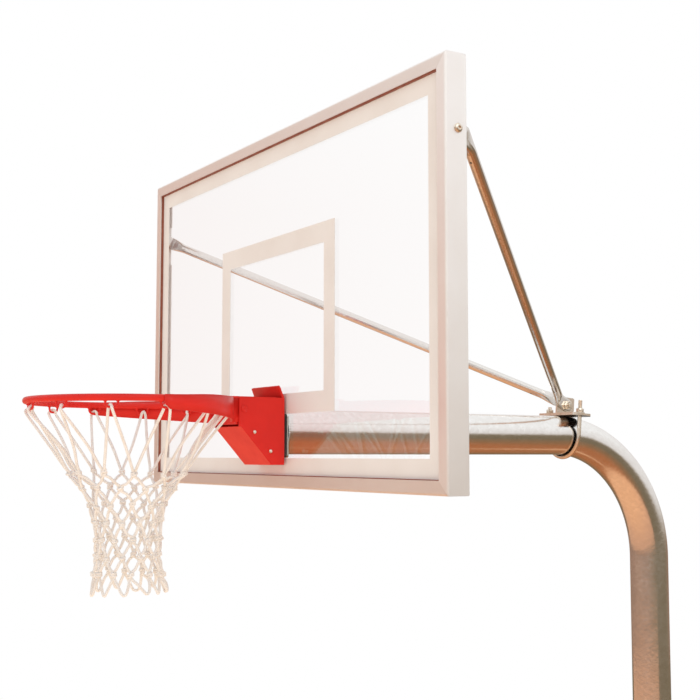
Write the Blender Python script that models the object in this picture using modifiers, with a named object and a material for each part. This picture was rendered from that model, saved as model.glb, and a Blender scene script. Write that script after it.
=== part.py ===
"""In-ground basketball hoop with a gooseneck post and a breakaway rim.

Metres, +Z up. The origin is where the post's axis meets the ground. +X is to the
right as seen from the court, and -Y points to the court. Depths of the board and
the rim are measured from the front face of the glass, and their heights from the
lower edge of the board.
"""
import math

import bmesh
import bpy
import numpy as np
from mathutils import Matrix, Vector

INCH = 0.0254

# Fits
GAP = 0.0003  # between pieces that touch
BOLT_PLAY = 0.0003  # radial, a bolt in its hole
SIDE_PLAY = 0.0005  # the rim's moving pieces inside the bracket

# Heights and reach
RIM_HEIGHT = 3.048  # top of the ring over the ground
BURIED_LENGTH = 1.219  # post below the ground line
OVERHANG = 1.311  # front of the glass to the post's axis
BOARD_BELOW_RIM = 0.2165  # ring top down to the board's lower edge
ARM_ABOVE_EDGE = 0.1411  # board's lower edge up to the arm's centre line

# Post, one bent pipe
POST_DIAMETER = 4.5 * INCH
POST_WALL = 0.0048
BEND_RADIUS = 0.370
POST_SIDES = 28
BEND_STEPS = 16

# Backboard
BOARD_WIDTH = 60 * INCH
BOARD_HEIGHT = 36 * INCH
GLASS_THICKNESS = 0.5 * INCH
FRAME_WALL = 0.003
FRAME_DEPTH = 0.0569
FRAME_LIP = 0.0305
FRAME_ROUND = 0.005
LIP_PROUD = 0.0108  # front of the frame over the glass
LEDGE_THICKNESS = 0.0025
LEDGE_REACH = 0.022
RETURN_REACH = 0.010
GASKET_INSET = 0.008
GASKET_EDGE = 0.0025
GASKET_BACK = 0.0015
GASKET_SHOWS = 0.0022  # dark line seen inside the frame's lip
BLOCK_LENGTH = 0.080
BLOCK_OFFSET = 0.380

# Painted lines
FILM_THICKNESS = 0.0005
BORDER_WIDTH = 0.0417
TARGET_WIDTH = 24 * INCH
TARGET_HEIGHT = 18 * INCH
TARGET_LINE = 2 * INCH
TARGET_ABOVE_EDGE = 0.1848

# Plate on the arm's end, and what is bolted to it
END_PLATE_WIDTH = 4.5 * INCH
END_PLATE_HEIGHT = 0.110
END_PLATE_THICKNESS = 0.25 * INCH
END_PLATE_DROP = 0.0108  # its centre below the arm's
REAR_GASKET = 0.0015
PAD_THICKNESS = 0.0074
PAD_LOW = 0.078
PAD_HIGH = 0.184
MOUNT_SPACING = 0.060
MOUNT_BOLT = 0.5 * INCH
MOUNT_BOLT_PAST = 0.003  # bolt end past the end plate
BUSHING_WALL = 0.0018
HALF_INCH_HEX = 0.75 * INCH
HEX_HEAD_HEIGHT = 0.008

# Rim bracket, a box open at the front and the top
BRACKET_WIDTH = 0.147
BRACKET_WALL = 0.004
BACK_PLATE = 0.005
BRACKET_FRONT = 0.133
BRACKET_TOP = 0.2245
BRACKET_CHIN = 0.152
CHIN_DEPTH = 0.1285
BRACKET_LOW = 0.0578
LOW_DEPTH = 0.0435
LIP_FOOT = 0.2225
GUARD_RISE = 0.033
GUARD_LEAN = 0.0135
GUARD_ROUND = 0.006
COVER_THICKNESS = 0.002
COVER_FLANGE = 0.030
COVER_FLANGE_TOP = 0.150
COVER_SCREW = 0.005
COVER_SCREW_HEAD = 0.0095
COVER_SCREWS = ((0.091, 0.1385), (0.0465, 0.0915))  # depth and height

# Breakaway pivot
PIVOT_DEPTH = 0.120
PIVOT_ABOVE_EDGE = 0.195
PIVOT_PIN = 0.5 * INCH
PIVOT_HEAD = 0.018
PIVOT_HEAD_HEIGHT = 0.0035
PIVOT_PAST = 0.006
PIVOT_SLEEVE = 0.022
CAP_LENGTH = 0.0075

# Moving arm of the rim
ARM_PLATE = 0.005
ARM_FRONT = 0.161
ARM_REAR = 0.025
FRONT_WEB = 0.1318  # rear face of the web behind the ring
FRONT_WEB_LOW = 0.157
LEVER = 0.091  # face of the lever that the springs push
STRAP_THICKNESS = 0.005
STRAP_RISE = 0.004  # its top over that of the ring
STRAP_EAR_END = 0.095
STRAP_EAR_LOW = 0.1625
STRAP_BEND = 0.152
STRAP_TIP_ANGLE = -2.5  # degrees round the ring, from the side
STRAP_TIP_DROP = 0.024  # lower edge at the tip, below the ring's centre line
STRAP_TIP_ROUND = 0.012

# Springs
SPRING_SPACING = 0.076
SPRING_ABOVE_EDGE = 0.141
SPRING_WIRE = 0.0042
SPRING_DIAMETER = 0.026
SPRING_TURNS = 8
SPRING_TURN_POINTS = 9
SEAT_DIAMETER = 0.016
REAR_SEAT_LENGTH = 0.014
LEVER_SEAT_LENGTH = 0.010

# Ring
RING_INSIDE = 18 * INCH
RING_ROD = 0.016
RING_DEPTH = 0.391  # glass to the ring's centre
RING_STEPS = 72
RING_ROD_SIDES = 12
HOOK_COUNT = 12
HOOK_WIRE = 0.005
HOOK_WIDTH = 0.028
HOOK_DROP = 0.0215
HOOK_INSET = 0.003  # wire's centre line inside that of the bar

# Net, as distance below the ring's centre line and radius at each row of knots
NET_CORD = 0.0052
NET_ROWS = ((0.168, 0.137), (0.204, 0.108), (0.242, 0.0885), (0.281, 0.079),
            (0.322, 0.073), (0.363, 0.0745), (0.403, 0.080), (0.4505, 0.089))

# Braces from the frame to the saddle on the arm
BRACE_DIAMETER = 1.0 * INCH
BRACE_WALL = 0.0018
BRACE_FLAT = 0.0036
BRACE_FLAT_WIDTH = 0.039
BRACE_KINK_FRONT = 0.024
BRACE_KINK_REAR = 0.030
BRACE_TAPER = 0.055
BRACE_SIDES = 16
BRACE_DRAIN = 0.006
FRAME_BOLT_DEPTH = 0.022
FRAME_BOLT_ABOVE_EDGE = 0.755
FRAME_BOLT = 0.375 * INCH
FRAME_BOLT_HEAD = 0.020
FRAME_BOLT_HEAD_HEIGHT = 0.0055
FRAME_BOLT_SOCKET = 0.0070
FRAME_NUT_HEX = 0.5625 * INCH
FRAME_NUT_HEIGHT = 0.007
FRAME_BOLT_PAST = 0.003
NOTCH_HEIGHT = 0.120

# Clamp on the arm: saddle, tab and U-bolt. Heights are over the crest of the pipe
CLAMP_ANGLE = 4.8  # degrees into the bend
SADDLE_LENGTH = 0.164
SADDLE_WIDTH = 0.066
SADDLE_PLATE = 0.0075
TAB_THICKNESS = 0.006
TAB_TOP = 0.057
TAB_BOLT_HEIGHT = 0.0335
TAB_BOLT_SETBACK = 0.0025
TAB_BOLT = 0.5 * INCH
TAB_NUT_HEX = 0.875 * INCH
TAB_NUT_HEIGHT = 0.011
TAB_BOLT_PAST = 0.004
U_BOLT_ROD = 0.012
U_BOLT_SPREAD = 0.132
U_BOLT_RIGHT_LEG = 0.0465
U_BOLT_LEFT_LEG = 0.030
U_BOLT_STEPS = 16
WASHER_DIAMETER = 0.028
WASHER_THICKNESS = 0.0025
U_NUT_HEIGHT = 0.011

# Colours, linear RGB
GALVANISED = (0.52, 0.52, 0.50)
SILVER = (0.72, 0.71, 0.70)
RED = (0.74, 0.045, 0.035)
ZINC = (0.62, 0.57, 0.50)
RUBBER = (0.020, 0.017, 0.016)
GLASS = (0.86, 0.90, 0.88)
PAINT = (0.83, 0.79, 0.72)
NYLON = (0.84, 0.80, 0.70)
BUSH = (0.75, 0.75, 0.72)

# Places worked out from the sizes above
GLASS_Y = -OVERHANG
EDGE_Z = RIM_HEIGHT - BOARD_BELOW_RIM
RING_RADIUS = (RING_INSIDE + RING_ROD) / 2
RING_Z = RIM_HEIGHT - RING_ROD / 2
RING_Y = GLASS_Y - RING_DEPTH
ARM_Z = EDGE_Z + ARM_ABOVE_EDGE
POST_RADIUS = POST_DIAMETER / 2
PIVOT = Vector((0, GLASS_Y - PIVOT_DEPTH, EDGE_Z + PIVOT_ABOVE_EDGE))
HALF_BRACKET = BRACKET_WIDTH / 2
INSIDE = HALF_BRACKET - BRACKET_WALL
EAR_OUTER = INSIDE - SIDE_PLAY
EAR_CENTRE = EAR_OUTER - STRAP_THICKNESS / 2
EAR_INNER = EAR_OUTER - STRAP_THICKNESS
BACK_FRONT = PAD_THICKNESS + 2 * GAP + BACK_PLATE  # depth of the back plate's front face
BACK_REAR = PAD_THICKNESS + 2 * GAP
MOUNT_HEIGHTS = (ARM_ABOVE_EDGE - MOUNT_SPACING / 2, ARM_ABOVE_EDGE + MOUNT_SPACING / 2)
MOUNT_HOLE = MOUNT_BOLT / 2 + BOLT_PLAY
PLATE_FRONT = GLASS_THICKNESS + 2 * GAP + REAR_GASKET  # behind the glass front
PLATE_REAR = PLATE_FRONT + END_PLATE_THICKNESS
CLAMP = (Matrix.Translation((0, -BEND_RADIUS, ARM_Z - BEND_RADIUS))
         @ Matrix.Rotation(-math.radians(CLAMP_ANGLE), 4, "X")
         @ Matrix.Translation((0, 0, BEND_RADIUS + POST_RADIUS)))
TAB_BOLT_AT = CLAMP @ Vector((0, TAB_BOLT_SETBACK, TAB_BOLT_HEIGHT))


def y_front(depth):
    """World Y of a depth in front of the glass."""
    return GLASS_Y - depth


def y_behind(depth):
    """World Y of a depth behind the glass's front face."""
    return GLASS_Y + depth


def z_edge(height):
    """World Z of a height over the board's lower edge."""
    return EDGE_Z + height


for old in list(bpy.data.objects):
    bpy.data.objects.remove(old)

PARTS = bpy.data.collections.new("in_ground_basketball_hoop")
CUTTERS = bpy.data.collections.new("cutters")
bpy.context.scene.collection.children.link(PARTS)
bpy.context.scene.collection.children.link(CUTTERS)

# How outline coordinates lie in the world for a plate with its normal along an axis
PLANES = {
    "X": Matrix(((0, 0, 1, 0), (1, 0, 0, 0), (0, 1, 0, 0), (0, 0, 0, 1))),
    "Y": Matrix(((1, 0, 0, 0), (0, 0, -1, 0), (0, 1, 0, 0), (0, 0, 0, 1))),
    "Z": Matrix.Identity(4),
}


def paint(obj, colour, metallic, roughness):
    """Give an object its own Principled material."""
    material = bpy.data.materials.new(obj.name)
    material.use_nodes = True
    shader = material.node_tree.nodes["Principled BSDF"]
    shader.inputs["Base Color"].default_value = (*colour, 1)
    shader.inputs["Metallic"].default_value = metallic
    shader.inputs["Roughness"].default_value = roughness
    obj.data.materials.clear()
    obj.data.materials.append(material)
    return obj


def steel(obj, colour=ZINC):
    """Bare or plated metal."""
    return paint(obj, colour, 0.9, 0.35)


def place(name, mesh, matrix=None, smooth=None):
    """Put a mesh in the parts collection under a name."""
    obj = bpy.data.objects.new(name, mesh)
    obj.matrix_world = matrix or Matrix.Identity(4)
    PARTS.objects.link(obj)
    if smooth:
        mesh.shade_smooth()
        mesh.set_sharp_from_angle(angle=math.radians(smooth))
    return obj


def helper(obj):
    """Move an object to the cutters, out of the built parts."""
    for collection in obj.users_collection:
        collection.objects.unlink(obj)
    CUTTERS.objects.link(obj)
    obj.hide_render = True
    obj.display_type = "WIRE"
    return obj


def combine(obj, operation, others):
    """Join or cut an object with helpers, one Boolean each."""
    for other in others:
        modifier = obj.modifiers.new(other.name, "BOOLEAN")
        modifier.operation = operation
        modifier.solver = "EXACT"
        modifier.object = helper(other)
    return obj


def cut(obj, *others):
    """Take helpers away from an object."""
    return combine(obj, "DIFFERENCE", others)


def weld_on(obj, *others):
    """Join helpers to an object."""
    return combine(obj, "UNION", others)


def mesh_of(curve_object, merge=0.00001):
    """Turn a curve into a closed mesh, with its caps welded, and remove the curve."""
    bpy.context.scene.collection.objects.link(curve_object)
    graph = bpy.context.evaluated_depsgraph_get()
    mesh = bpy.data.meshes.new_from_object(curve_object.evaluated_get(graph))
    shape = bmesh.new()
    shape.from_mesh(mesh)
    bmesh.ops.remove_doubles(shape, verts=shape.verts, dist=merge)
    bmesh.ops.recalc_face_normals(shape, faces=shape.faces)
    shape.to_mesh(mesh)
    shape.free()
    bpy.data.objects.remove(curve_object)
    return mesh


def add_spline(curve, points, cyclic):
    """Add a straight-sided spline through points."""
    spline = curve.splines.new("POLY")
    spline.points.add(len(points) - 1)
    for target, point in zip(spline.points, points):
        target.co = (*point, 0, 1) if len(point) == 2 else (*point, 1)
    spline.use_cyclic_u = cyclic


def plate(name, outlines, thickness, axis, centre, smooth=None):
    """A flat piece: the first outline less the others, its mid plane through centre."""
    curve = bpy.data.curves.new(name, "CURVE")
    curve.dimensions = "2D"
    curve.fill_mode = "BOTH"
    curve.extrude = thickness / 2
    for outline in outlines:
        add_spline(curve, outline, True)
    mesh = mesh_of(bpy.data.objects.new(name, curve))
    return place(name, mesh, Matrix.Translation(centre) @ PLANES[axis], smooth)


def rod(name, paths, diameter, sides, cyclic=False):
    """Round bar along one or more paths."""
    curve = bpy.data.curves.new(name, "CURVE")
    curve.dimensions = "3D"
    curve.bevel_depth = diameter / 2
    curve.bevel_resolution = (sides - 4) // 2
    curve.use_fill_caps = not cyclic
    for points in paths:
        add_spline(curve, points, cyclic)
    return place(name, mesh_of(bpy.data.objects.new(name, curve)), smooth=50)


def aim(axis):
    """Rotation that turns +Z to a world axis."""
    turns = {"X": Matrix.Rotation(math.pi / 2, 4, "Y"), "Y": Matrix.Rotation(-math.pi / 2, 4, "X")}
    return turns.get(axis, Matrix.Identity(4))


def cylinder(name, diameter, length, centre, direction, sides=16):
    """Cylinder with its middle at centre, along a direction."""
    shape = bmesh.new()
    bmesh.ops.create_cone(shape, cap_ends=True, segments=sides, radius1=diameter / 2,
                          radius2=diameter / 2, depth=length)
    mesh = bpy.data.meshes.new(name)
    shape.to_mesh(mesh)
    shape.free()
    turn = Vector(direction).to_track_quat("Z", "Y").to_matrix().to_4x4()
    return place(name, mesh, Matrix.Translation(centre) @ turn, 40)


def box(name, size, centre):
    """Block with its middle at centre."""
    shape = bmesh.new()
    bmesh.ops.create_cube(shape, size=1)
    bmesh.ops.scale(shape, vec=size, verts=shape.verts)
    mesh = bpy.data.meshes.new(name)
    shape.to_mesh(mesh)
    shape.free()
    return place(name, mesh, Matrix.Translation(centre))


def turned(name, profile, axis, centre, steps=16, flip=False):
    """Revolve a profile of (radius, height) points, listed from top to bottom."""
    mesh = bpy.data.meshes.new(name)
    points = [(radius, 0, height) for radius, height in profile]
    mesh.from_pydata(points, [(i, i + 1) for i in range(len(points) - 1)], [])
    turn = aim(axis) @ (Matrix.Rotation(math.pi, 4, "X") if flip else Matrix.Identity(4))
    obj = place(name, mesh, Matrix.Translation(centre) @ turn)
    screw = obj.modifiers.new("turn", "SCREW")
    screw.steps = steps
    screw.render_steps = steps
    screw.use_merge_vertices = True
    screw.merge_threshold = 0.00005
    screw.use_smooth_shade = False
    return obj


def circle(centre, diameter, sides=16):
    """Points round a circle."""
    angles = np.arange(sides) * 2 * math.pi / sides
    return [(centre[0] + diameter / 2 * math.cos(a), centre[1] + diameter / 2 * math.sin(a))
            for a in angles]


def rectangle(width, height, centre=(0, 0)):
    """Corners of a rectangle."""
    half_w = width / 2
    half_h = height / 2
    return [(centre[0] + sx * half_w, centre[1] + sy * half_h)
            for sx, sy in ((-1, -1), (1, -1), (1, 1), (-1, 1))]


def hexagon(across, centre=(0, 0), flats_first=False):
    """Corners of a hexagon of a given width across its flats."""
    start = math.pi / 6 if flats_first else 0
    radius = across / math.sqrt(3)
    return [(centre[0] + radius * math.cos(start + k * math.pi / 3),
             centre[1] + radius * math.sin(start + k * math.pi / 3)) for k in range(6)]


def rounded(points, radii, steps=3):
    """Replace each corner by an arc of its radius."""
    result = []
    count = len(points)
    for index, point in enumerate(points):
        radius = radii[index] if isinstance(radii, (list, tuple)) else radii
        if radius <= 0:
            result.append(tuple(point))
            continue
        corner = Vector(point)
        before = (Vector(points[index - 1]) - corner).normalized()
        after = (Vector(points[(index + 1) % count]) - corner).normalized()
        half = before.angle(after) / 2
        reach = radius / math.tan(half)
        middle = corner + (before + after).normalized() * (radius / math.sin(half))
        start = corner + before * reach - middle
        sweep = math.pi - 2 * half
        turn = math.copysign(1, before.x * after.y - before.y * after.x)
        for step in range(steps + 1):
            spin = Matrix.Rotation(-turn * sweep * step / steps, 2)
            result.append(tuple(middle + spin @ start))
    return result


def bolt(name, head, shank, length, centre, direction, sides=14, turn=0.0):
    """Hex bolt: centre is under the head, direction runs from the head to the tip."""
    along = Vector(direction).normalized()
    place_at = Matrix.Translation(centre) @ along.to_track_quat("Z", "Y").to_matrix().to_4x4()
    shape = bmesh.new()
    bmesh.ops.create_cone(shape, cap_ends=True, segments=6, radius1=head[0] / math.sqrt(3),
                          radius2=head[0] / math.sqrt(3), depth=head[1])
    bmesh.ops.rotate(shape, verts=shape.verts, matrix=Matrix.Rotation(turn, 3, "Z"))
    bmesh.ops.translate(shape, verts=shape.verts, vec=(0, 0, -head[1] / 2))
    mesh = bpy.data.meshes.new(name)
    shape.to_mesh(mesh)
    shape.free()
    obj = place(name, mesh, place_at)
    overlap = head[1] / 2
    shaft = cylinder(name + "_shank", shank, length + overlap,
                     Vector(centre) + along * (length - overlap) / 2, along, sides)
    return weld_on(obj, shaft)


def loft(name, rings):
    """Closed solid through rings of as many points each."""
    count = len(rings[0])
    vertices = [tuple(point) for ring in rings for point in ring]
    faces = [tuple(range(count))[::-1]]
    for row in range(len(rings) - 1):
        for k in range(count):
            low = row * count
            nxt = (k + 1) % count
            faces.append((low + k, low + nxt, low + count + nxt, low + count + k))
    last = (len(rings) - 1) * count
    faces.append(tuple(range(last, last + count)))
    mesh = bpy.data.meshes.new(name)
    mesh.from_pydata(vertices, [], faces)
    shape = bmesh.new()
    shape.from_mesh(mesh)
    bmesh.ops.recalc_face_normals(shape, faces=shape.faces)
    shape.to_mesh(mesh)
    shape.free()
    return place(name, mesh, smooth=40)


# Post: one pipe, bent from the level arm down into the ground
def post_path():
    """Centre line of the pipe from the arm's end to the buried foot."""
    points = [(0, y_behind(PLATE_REAR + GAP), ARM_Z)]
    for step in range(BEND_STEPS + 1):
        angle = math.pi / 2 * step / BEND_STEPS
        points.append((0, -BEND_RADIUS + BEND_RADIUS * math.sin(angle),
                       ARM_Z - BEND_RADIUS + BEND_RADIUS * math.cos(angle)))
    points.append((0, 0, -BURIED_LENGTH))
    return points


def build_post():
    """Pipe as an open surface given its wall."""
    curve = bpy.data.curves.new("gooseneck_post", "CURVE")
    curve.dimensions = "3D"
    curve.bevel_depth = POST_RADIUS
    curve.bevel_resolution = (POST_SIDES - 4) // 2
    add_spline(curve, post_path(), False)
    post = place("gooseneck_post", mesh_of(bpy.data.objects.new("gooseneck_post", curve)), smooth=40)
    wall = post.modifiers.new("wall", "SOLIDIFY")
    wall.thickness = POST_WALL
    wall.offset = -1
    wall.use_even_offset = True
    steel(post, GALVANISED)


def mount_centres():
    """Places of the four bolts through the glass, as X and height over the edge."""
    return [(sx * MOUNT_SPACING / 2, height) for height in MOUNT_HEIGHTS for sx in (-1, 1)]


def mount_holes(diameter, origin_height):
    """Hole outlines for the four bolts, about a given height."""
    return [circle((x, height - origin_height), diameter) for x, height in mount_centres()]


def build_end_plate():
    """Plate welded across the arm's end, with the tapped holes for the rim."""
    middle = ARM_ABOVE_EDGE - END_PLATE_DROP
    outline = rounded(rectangle(END_PLATE_WIDTH, END_PLATE_HEIGHT), 0.006)
    depth = PLATE_FRONT + END_PLATE_THICKNESS / 2
    end_plate = plate("arm_end_plate", [outline] + mount_holes(2 * MOUNT_HOLE, middle),
                      END_PLATE_THICKNESS, "Y", (0, y_behind(depth), z_edge(middle)))
    steel(end_plate, GALVANISED)
    gasket = plate("rear_gasket", [outline] + mount_holes(2 * MOUNT_HOLE, middle), REAR_GASKET,
                   "Y", (0, y_behind(GLASS_THICKNESS + GAP + REAR_GASKET / 2), z_edge(middle)))
    paint(gasket, RUBBER, 0, 0.8)


# Backboard
def frame_section():
    """Section of the frame: inset from the outer edge, and depth behind the glass's front."""
    front = -LIP_PROUD
    back = FRAME_DEPTH - LIP_PROUD
    ledge = GLASS_THICKNESS + 2 * GAP + GASKET_BACK
    points = [(0, front), (FRAME_LIP, front), (FRAME_LIP, front + FRAME_WALL),
              (FRAME_WALL, front + FRAME_WALL), (FRAME_WALL, ledge), (LEDGE_REACH, ledge),
              (LEDGE_REACH, ledge + LEDGE_THICKNESS), (FRAME_WALL, ledge + LEDGE_THICKNESS),
              (FRAME_WALL, back - FRAME_WALL), (RETURN_REACH, back - FRAME_WALL),
              (RETURN_REACH, back), (0, back)]
    return rounded(points, [FRAME_ROUND] + [0] * 10 + [FRAME_ROUND])


BOARD_CENTRE = Vector((0, GLASS_Y, EDGE_Z + BOARD_HEIGHT / 2))


def frame_side(name, length, reach, quarter_turns):
    """One mitred side: the section along X, its ends cut back by each point's inset."""
    section = [(depth, inset) for inset, depth in frame_section()]
    side = plate(name, [section], length, "X", (0, 0, 0))
    for vertex in side.data.vertices:
        inset = vertex.co.y
        vertex.co.z = math.copysign(length / 2 - inset - GAP / 2, vertex.co.z)
    turn = Matrix.Rotation(quarter_turns * math.pi / 2, 4, "Y")
    side.matrix_world = (Matrix.Translation(BOARD_CENTRE) @ turn
                         @ Matrix.Translation((0, 0, -reach)) @ PLANES["X"])
    side.data.shade_smooth()
    side.data.set_sharp_from_angle(angle=math.radians(35))
    return paint(side, SILVER, 0.8, 0.3)


def frame_bolt_place(side):
    """Brace bolt's axis at the outer face of a side of the frame."""
    return Vector((side * BOARD_WIDTH / 2, y_behind(FRAME_BOLT_DEPTH), z_edge(FRAME_BOLT_ABOVE_EDGE)))


def build_frame():
    """Four sides, the uprights drilled and notched for the braces."""
    half_w = BOARD_WIDTH / 2
    half_h = BOARD_HEIGHT / 2
    frame_side("frame_bottom", BOARD_WIDTH, half_h, 0)
    frame_side("frame_top", BOARD_WIDTH, half_h, 2)
    for name, side, turns in (("frame_right", 1, 3), ("frame_left", -1, 1)):
        upright = frame_side(name, BOARD_HEIGHT, half_w, turns)
        at = frame_bolt_place(side)
        hole = cylinder(name + "_hole", FRAME_BOLT + 2 * BOLT_PLAY, 4 * FRAME_WALL, at, (1, 0, 0))
        clear = FRAME_DEPTH  # past the ledge and the return
        near = GLASS_THICKNESS
        notch = box(name + "_notch", (clear, clear, NOTCH_HEIGHT),
                    at + Vector((-side * (FRAME_WALL + GAP / 2 + clear / 2),
                                 near - FRAME_BOLT_DEPTH + clear / 2,
                                 -NOTCH_HEIGHT / 2 + BRACE_FLAT_WIDTH)))
        cut(upright, hole, notch)


def rect_ring(name, section, width, height):
    """Closed moulding round a rectangle, mitred at its corners."""
    corners = ((-1, -1), (1, -1), (1, 1), (-1, 1))
    count = len(section)
    vertices = []
    for sx, sz in corners:
        for inset, depth in section:
            vertices.append((sx * (width / 2 - inset), depth, sz * (height / 2 - inset)))
    faces = []
    for corner in range(4):
        here = corner * count
        there = (corner + 1) % 4 * count
        for k in range(count):
            nxt = (k + 1) % count
            faces.append((here + k, here + nxt, there + nxt, there + k))
    mesh = bpy.data.meshes.new(name)
    mesh.from_pydata(vertices, [], faces)
    shape = bmesh.new()
    shape.from_mesh(mesh)
    bmesh.ops.recalc_face_normals(shape, faces=shape.faces)
    shape.to_mesh(mesh)
    shape.free()
    return place(name, mesh, Matrix.Translation(BOARD_CENTRE))


def build_glass():
    """Glass, the rubber channel round it, its blocks and its painted lines."""
    glass_inset = GASKET_INSET + GASKET_EDGE + GAP
    middle = BOARD_HEIGHT / 2
    outline = rectangle(BOARD_WIDTH - 2 * glass_inset, BOARD_HEIGHT - 2 * glass_inset)
    hole = 2 * (MOUNT_HOLE + BUSHING_WALL + GAP)
    panel = plate("backboard_glass", [outline] + mount_holes(hole, middle), GLASS_THICKNESS, "Y",
                  BOARD_CENTRE + Vector((0, GLASS_THICKNESS / 2, 0)))
    paint(panel, GLASS, 0, 0.05)

    front = -LIP_PROUD + FRAME_WALL + GAP
    back = GLASS_THICKNESS + GAP + GASKET_BACK
    inner = GASKET_INSET + GASKET_EDGE
    section = [(GASKET_INSET, front), (FRAME_LIP + GASKET_SHOWS, front),
               (FRAME_LIP + GASKET_SHOWS, -GAP), (inner, -GAP), (inner, GLASS_THICKNESS + GAP),
               (LEDGE_REACH, GLASS_THICKNESS + GAP), (LEDGE_REACH, back), (GASKET_INSET, back)]
    paint(rect_ring("glazing_gasket", section, BOARD_WIDTH, BOARD_HEIGHT), RUBBER, 0, 0.7)

    low = FRAME_WALL + GAP
    high = GASKET_INSET - GAP
    for name, side in (("setting_block_left", -1), ("setting_block_right", 1)):
        block = box(name, (BLOCK_LENGTH, back - front, high - low),
                    (side * BLOCK_OFFSET, y_behind((front + back) / 2), z_edge((low + high) / 2)))
        paint(block, RUBBER, 0, 0.8)

    film_y = -GAP - FILM_THICKNESS / 2
    border_inset = FRAME_LIP + GASKET_SHOWS + GAP
    outer = rectangle(BOARD_WIDTH - 2 * border_inset, BOARD_HEIGHT - 2 * border_inset)
    within = 2 * (border_inset + BORDER_WIDTH)
    inner_line = rectangle(BOARD_WIDTH - within, BOARD_HEIGHT - within)
    border = plate("border_line", [outer, inner_line], FILM_THICKNESS, "Y",
                   BOARD_CENTRE + Vector((0, film_y, 0)))
    paint(border, PAINT, 0, 0.4)
    target = plate("target_line", [rectangle(TARGET_WIDTH, TARGET_HEIGHT),
                                   rectangle(TARGET_WIDTH - 2 * TARGET_LINE,
                                             TARGET_HEIGHT - 2 * TARGET_LINE)],
                   FILM_THICKNESS, "Y",
                   (0, GLASS_Y + film_y, z_edge(TARGET_ABOVE_EDGE + TARGET_HEIGHT / 2)))
    paint(target, PAINT, 0, 0.4)


# Braces
BRACE_FRONT_X = BOARD_WIDTH / 2 - FRAME_WALL - GAP - BRACE_FLAT / 2
BRACE_REAR_X = TAB_THICKNESS / 2 + GAP + BRACE_FLAT / 2


def brace_ring(centre, wide, thin, half_wide, half_thin, squareness):
    """Section of the brace: a circle, or a flattened one where squareness is under 1."""
    points = []
    for k in range(BRACE_SIDES):
        angle = 2 * math.pi * k / BRACE_SIDES
        c = math.cos(angle)
        s = math.sin(angle)
        across = math.copysign(abs(c) ** squareness, c) * half_wide
        through = math.copysign(abs(s) ** squareness, s) * half_thin
        points.append(centre + wide * across + thin * through)
    return points


def build_brace(name, side):
    """Tube with both ends pressed flat and bent to lie against the frame and the tab."""
    front = frame_bolt_place(side)
    front.x = side * BRACE_FRONT_X
    rear = TAB_BOLT_AT.copy()
    rear.x = side * BRACE_REAR_X
    slope = Vector((0, rear.y - front.y, rear.z - front.z)).normalized()
    normal = Vector((1, 0, 0))
    wide = normal.cross(slope)
    kink_front = front + slope * BRACE_KINK_FRONT
    kink_rear = rear - slope * BRACE_KINK_REAR
    along = (kink_rear - kink_front).normalized()
    thin = along.cross(wide).normalized()
    thin *= math.copysign(1, thin.dot(normal))
    radius = BRACE_DIAMETER / 2
    flat_w = BRACE_FLAT_WIDTH / 2
    flat_t = BRACE_FLAT / 2
    rings = []
    for degrees in (20, 45, 68, 90):
        angle = math.radians(degrees)
        centre = front - slope * flat_w * math.cos(angle)
        rings.append(brace_ring(centre, wide, normal, flat_w * math.sin(angle), flat_t, 0.35))
    rings.append(brace_ring(kink_front, wide, (normal + thin).normalized(), flat_w, flat_t, 0.35))
    for share in (0.25, 0.55, 0.8, 1.0):
        ease = share * share * (3 - 2 * share)
        rings.append(brace_ring(kink_front + along * BRACE_TAPER * share, wide, thin,
                                flat_w + (radius - flat_w) * ease, flat_t + (radius - flat_t) * ease,
                                0.35 + 0.65 * ease))
    for share in (1.0, 0.8, 0.55, 0.25):
        ease = share * share * (3 - 2 * share)
        rings.append(brace_ring(kink_rear - along * BRACE_TAPER * share, wide, thin,
                                flat_w + (radius - flat_w) * ease, flat_t + (radius - flat_t) * ease,
                                0.35 + 0.65 * ease))
    rings.append(brace_ring(kink_rear, wide, (normal + thin).normalized(), flat_w, flat_t, 0.35))
    for degrees in (90, 68, 45, 20):
        angle = math.radians(degrees)
        centre = rear + slope * flat_w * math.cos(angle)
        rings.append(brace_ring(centre, wide, normal, flat_w * math.sin(angle), flat_t, 0.35))
    brace = loft(name, rings)

    bore_start = kink_front + along * BRACE_TAPER
    bore_end = kink_rear - along * BRACE_TAPER
    bore = cylinder(name + "_bore", BRACE_DIAMETER - 2 * BRACE_WALL, (bore_end - bore_start).length,
                    (bore_start + bore_end) / 2, along)
    under = wide * math.copysign(1, -wide.z)
    drains = []
    for index, point in enumerate((bore_start, bore_end)):
        inward = along if index == 0 else -along
        drains.append(cylinder(f"{name}_drain_{index}", BRACE_DRAIN, BRACE_DIAMETER,
                               point + inward * BRACE_DIAMETER + under * radius, under, 8))
    front_hole = cylinder(name + "_front_hole", FRAME_BOLT + 2 * BOLT_PLAY, 6 * BRACE_FLAT, front,
                          (1, 0, 0))
    rear_hole = cylinder(name + "_rear_hole", TAB_BOLT + 2 * BOLT_PLAY, 2 * BRACE_FLAT, rear,
                         (1, 0, 0))
    cut(brace, bore, front_hole, rear_hole, *drains)
    steel(brace, GALVANISED)


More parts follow.
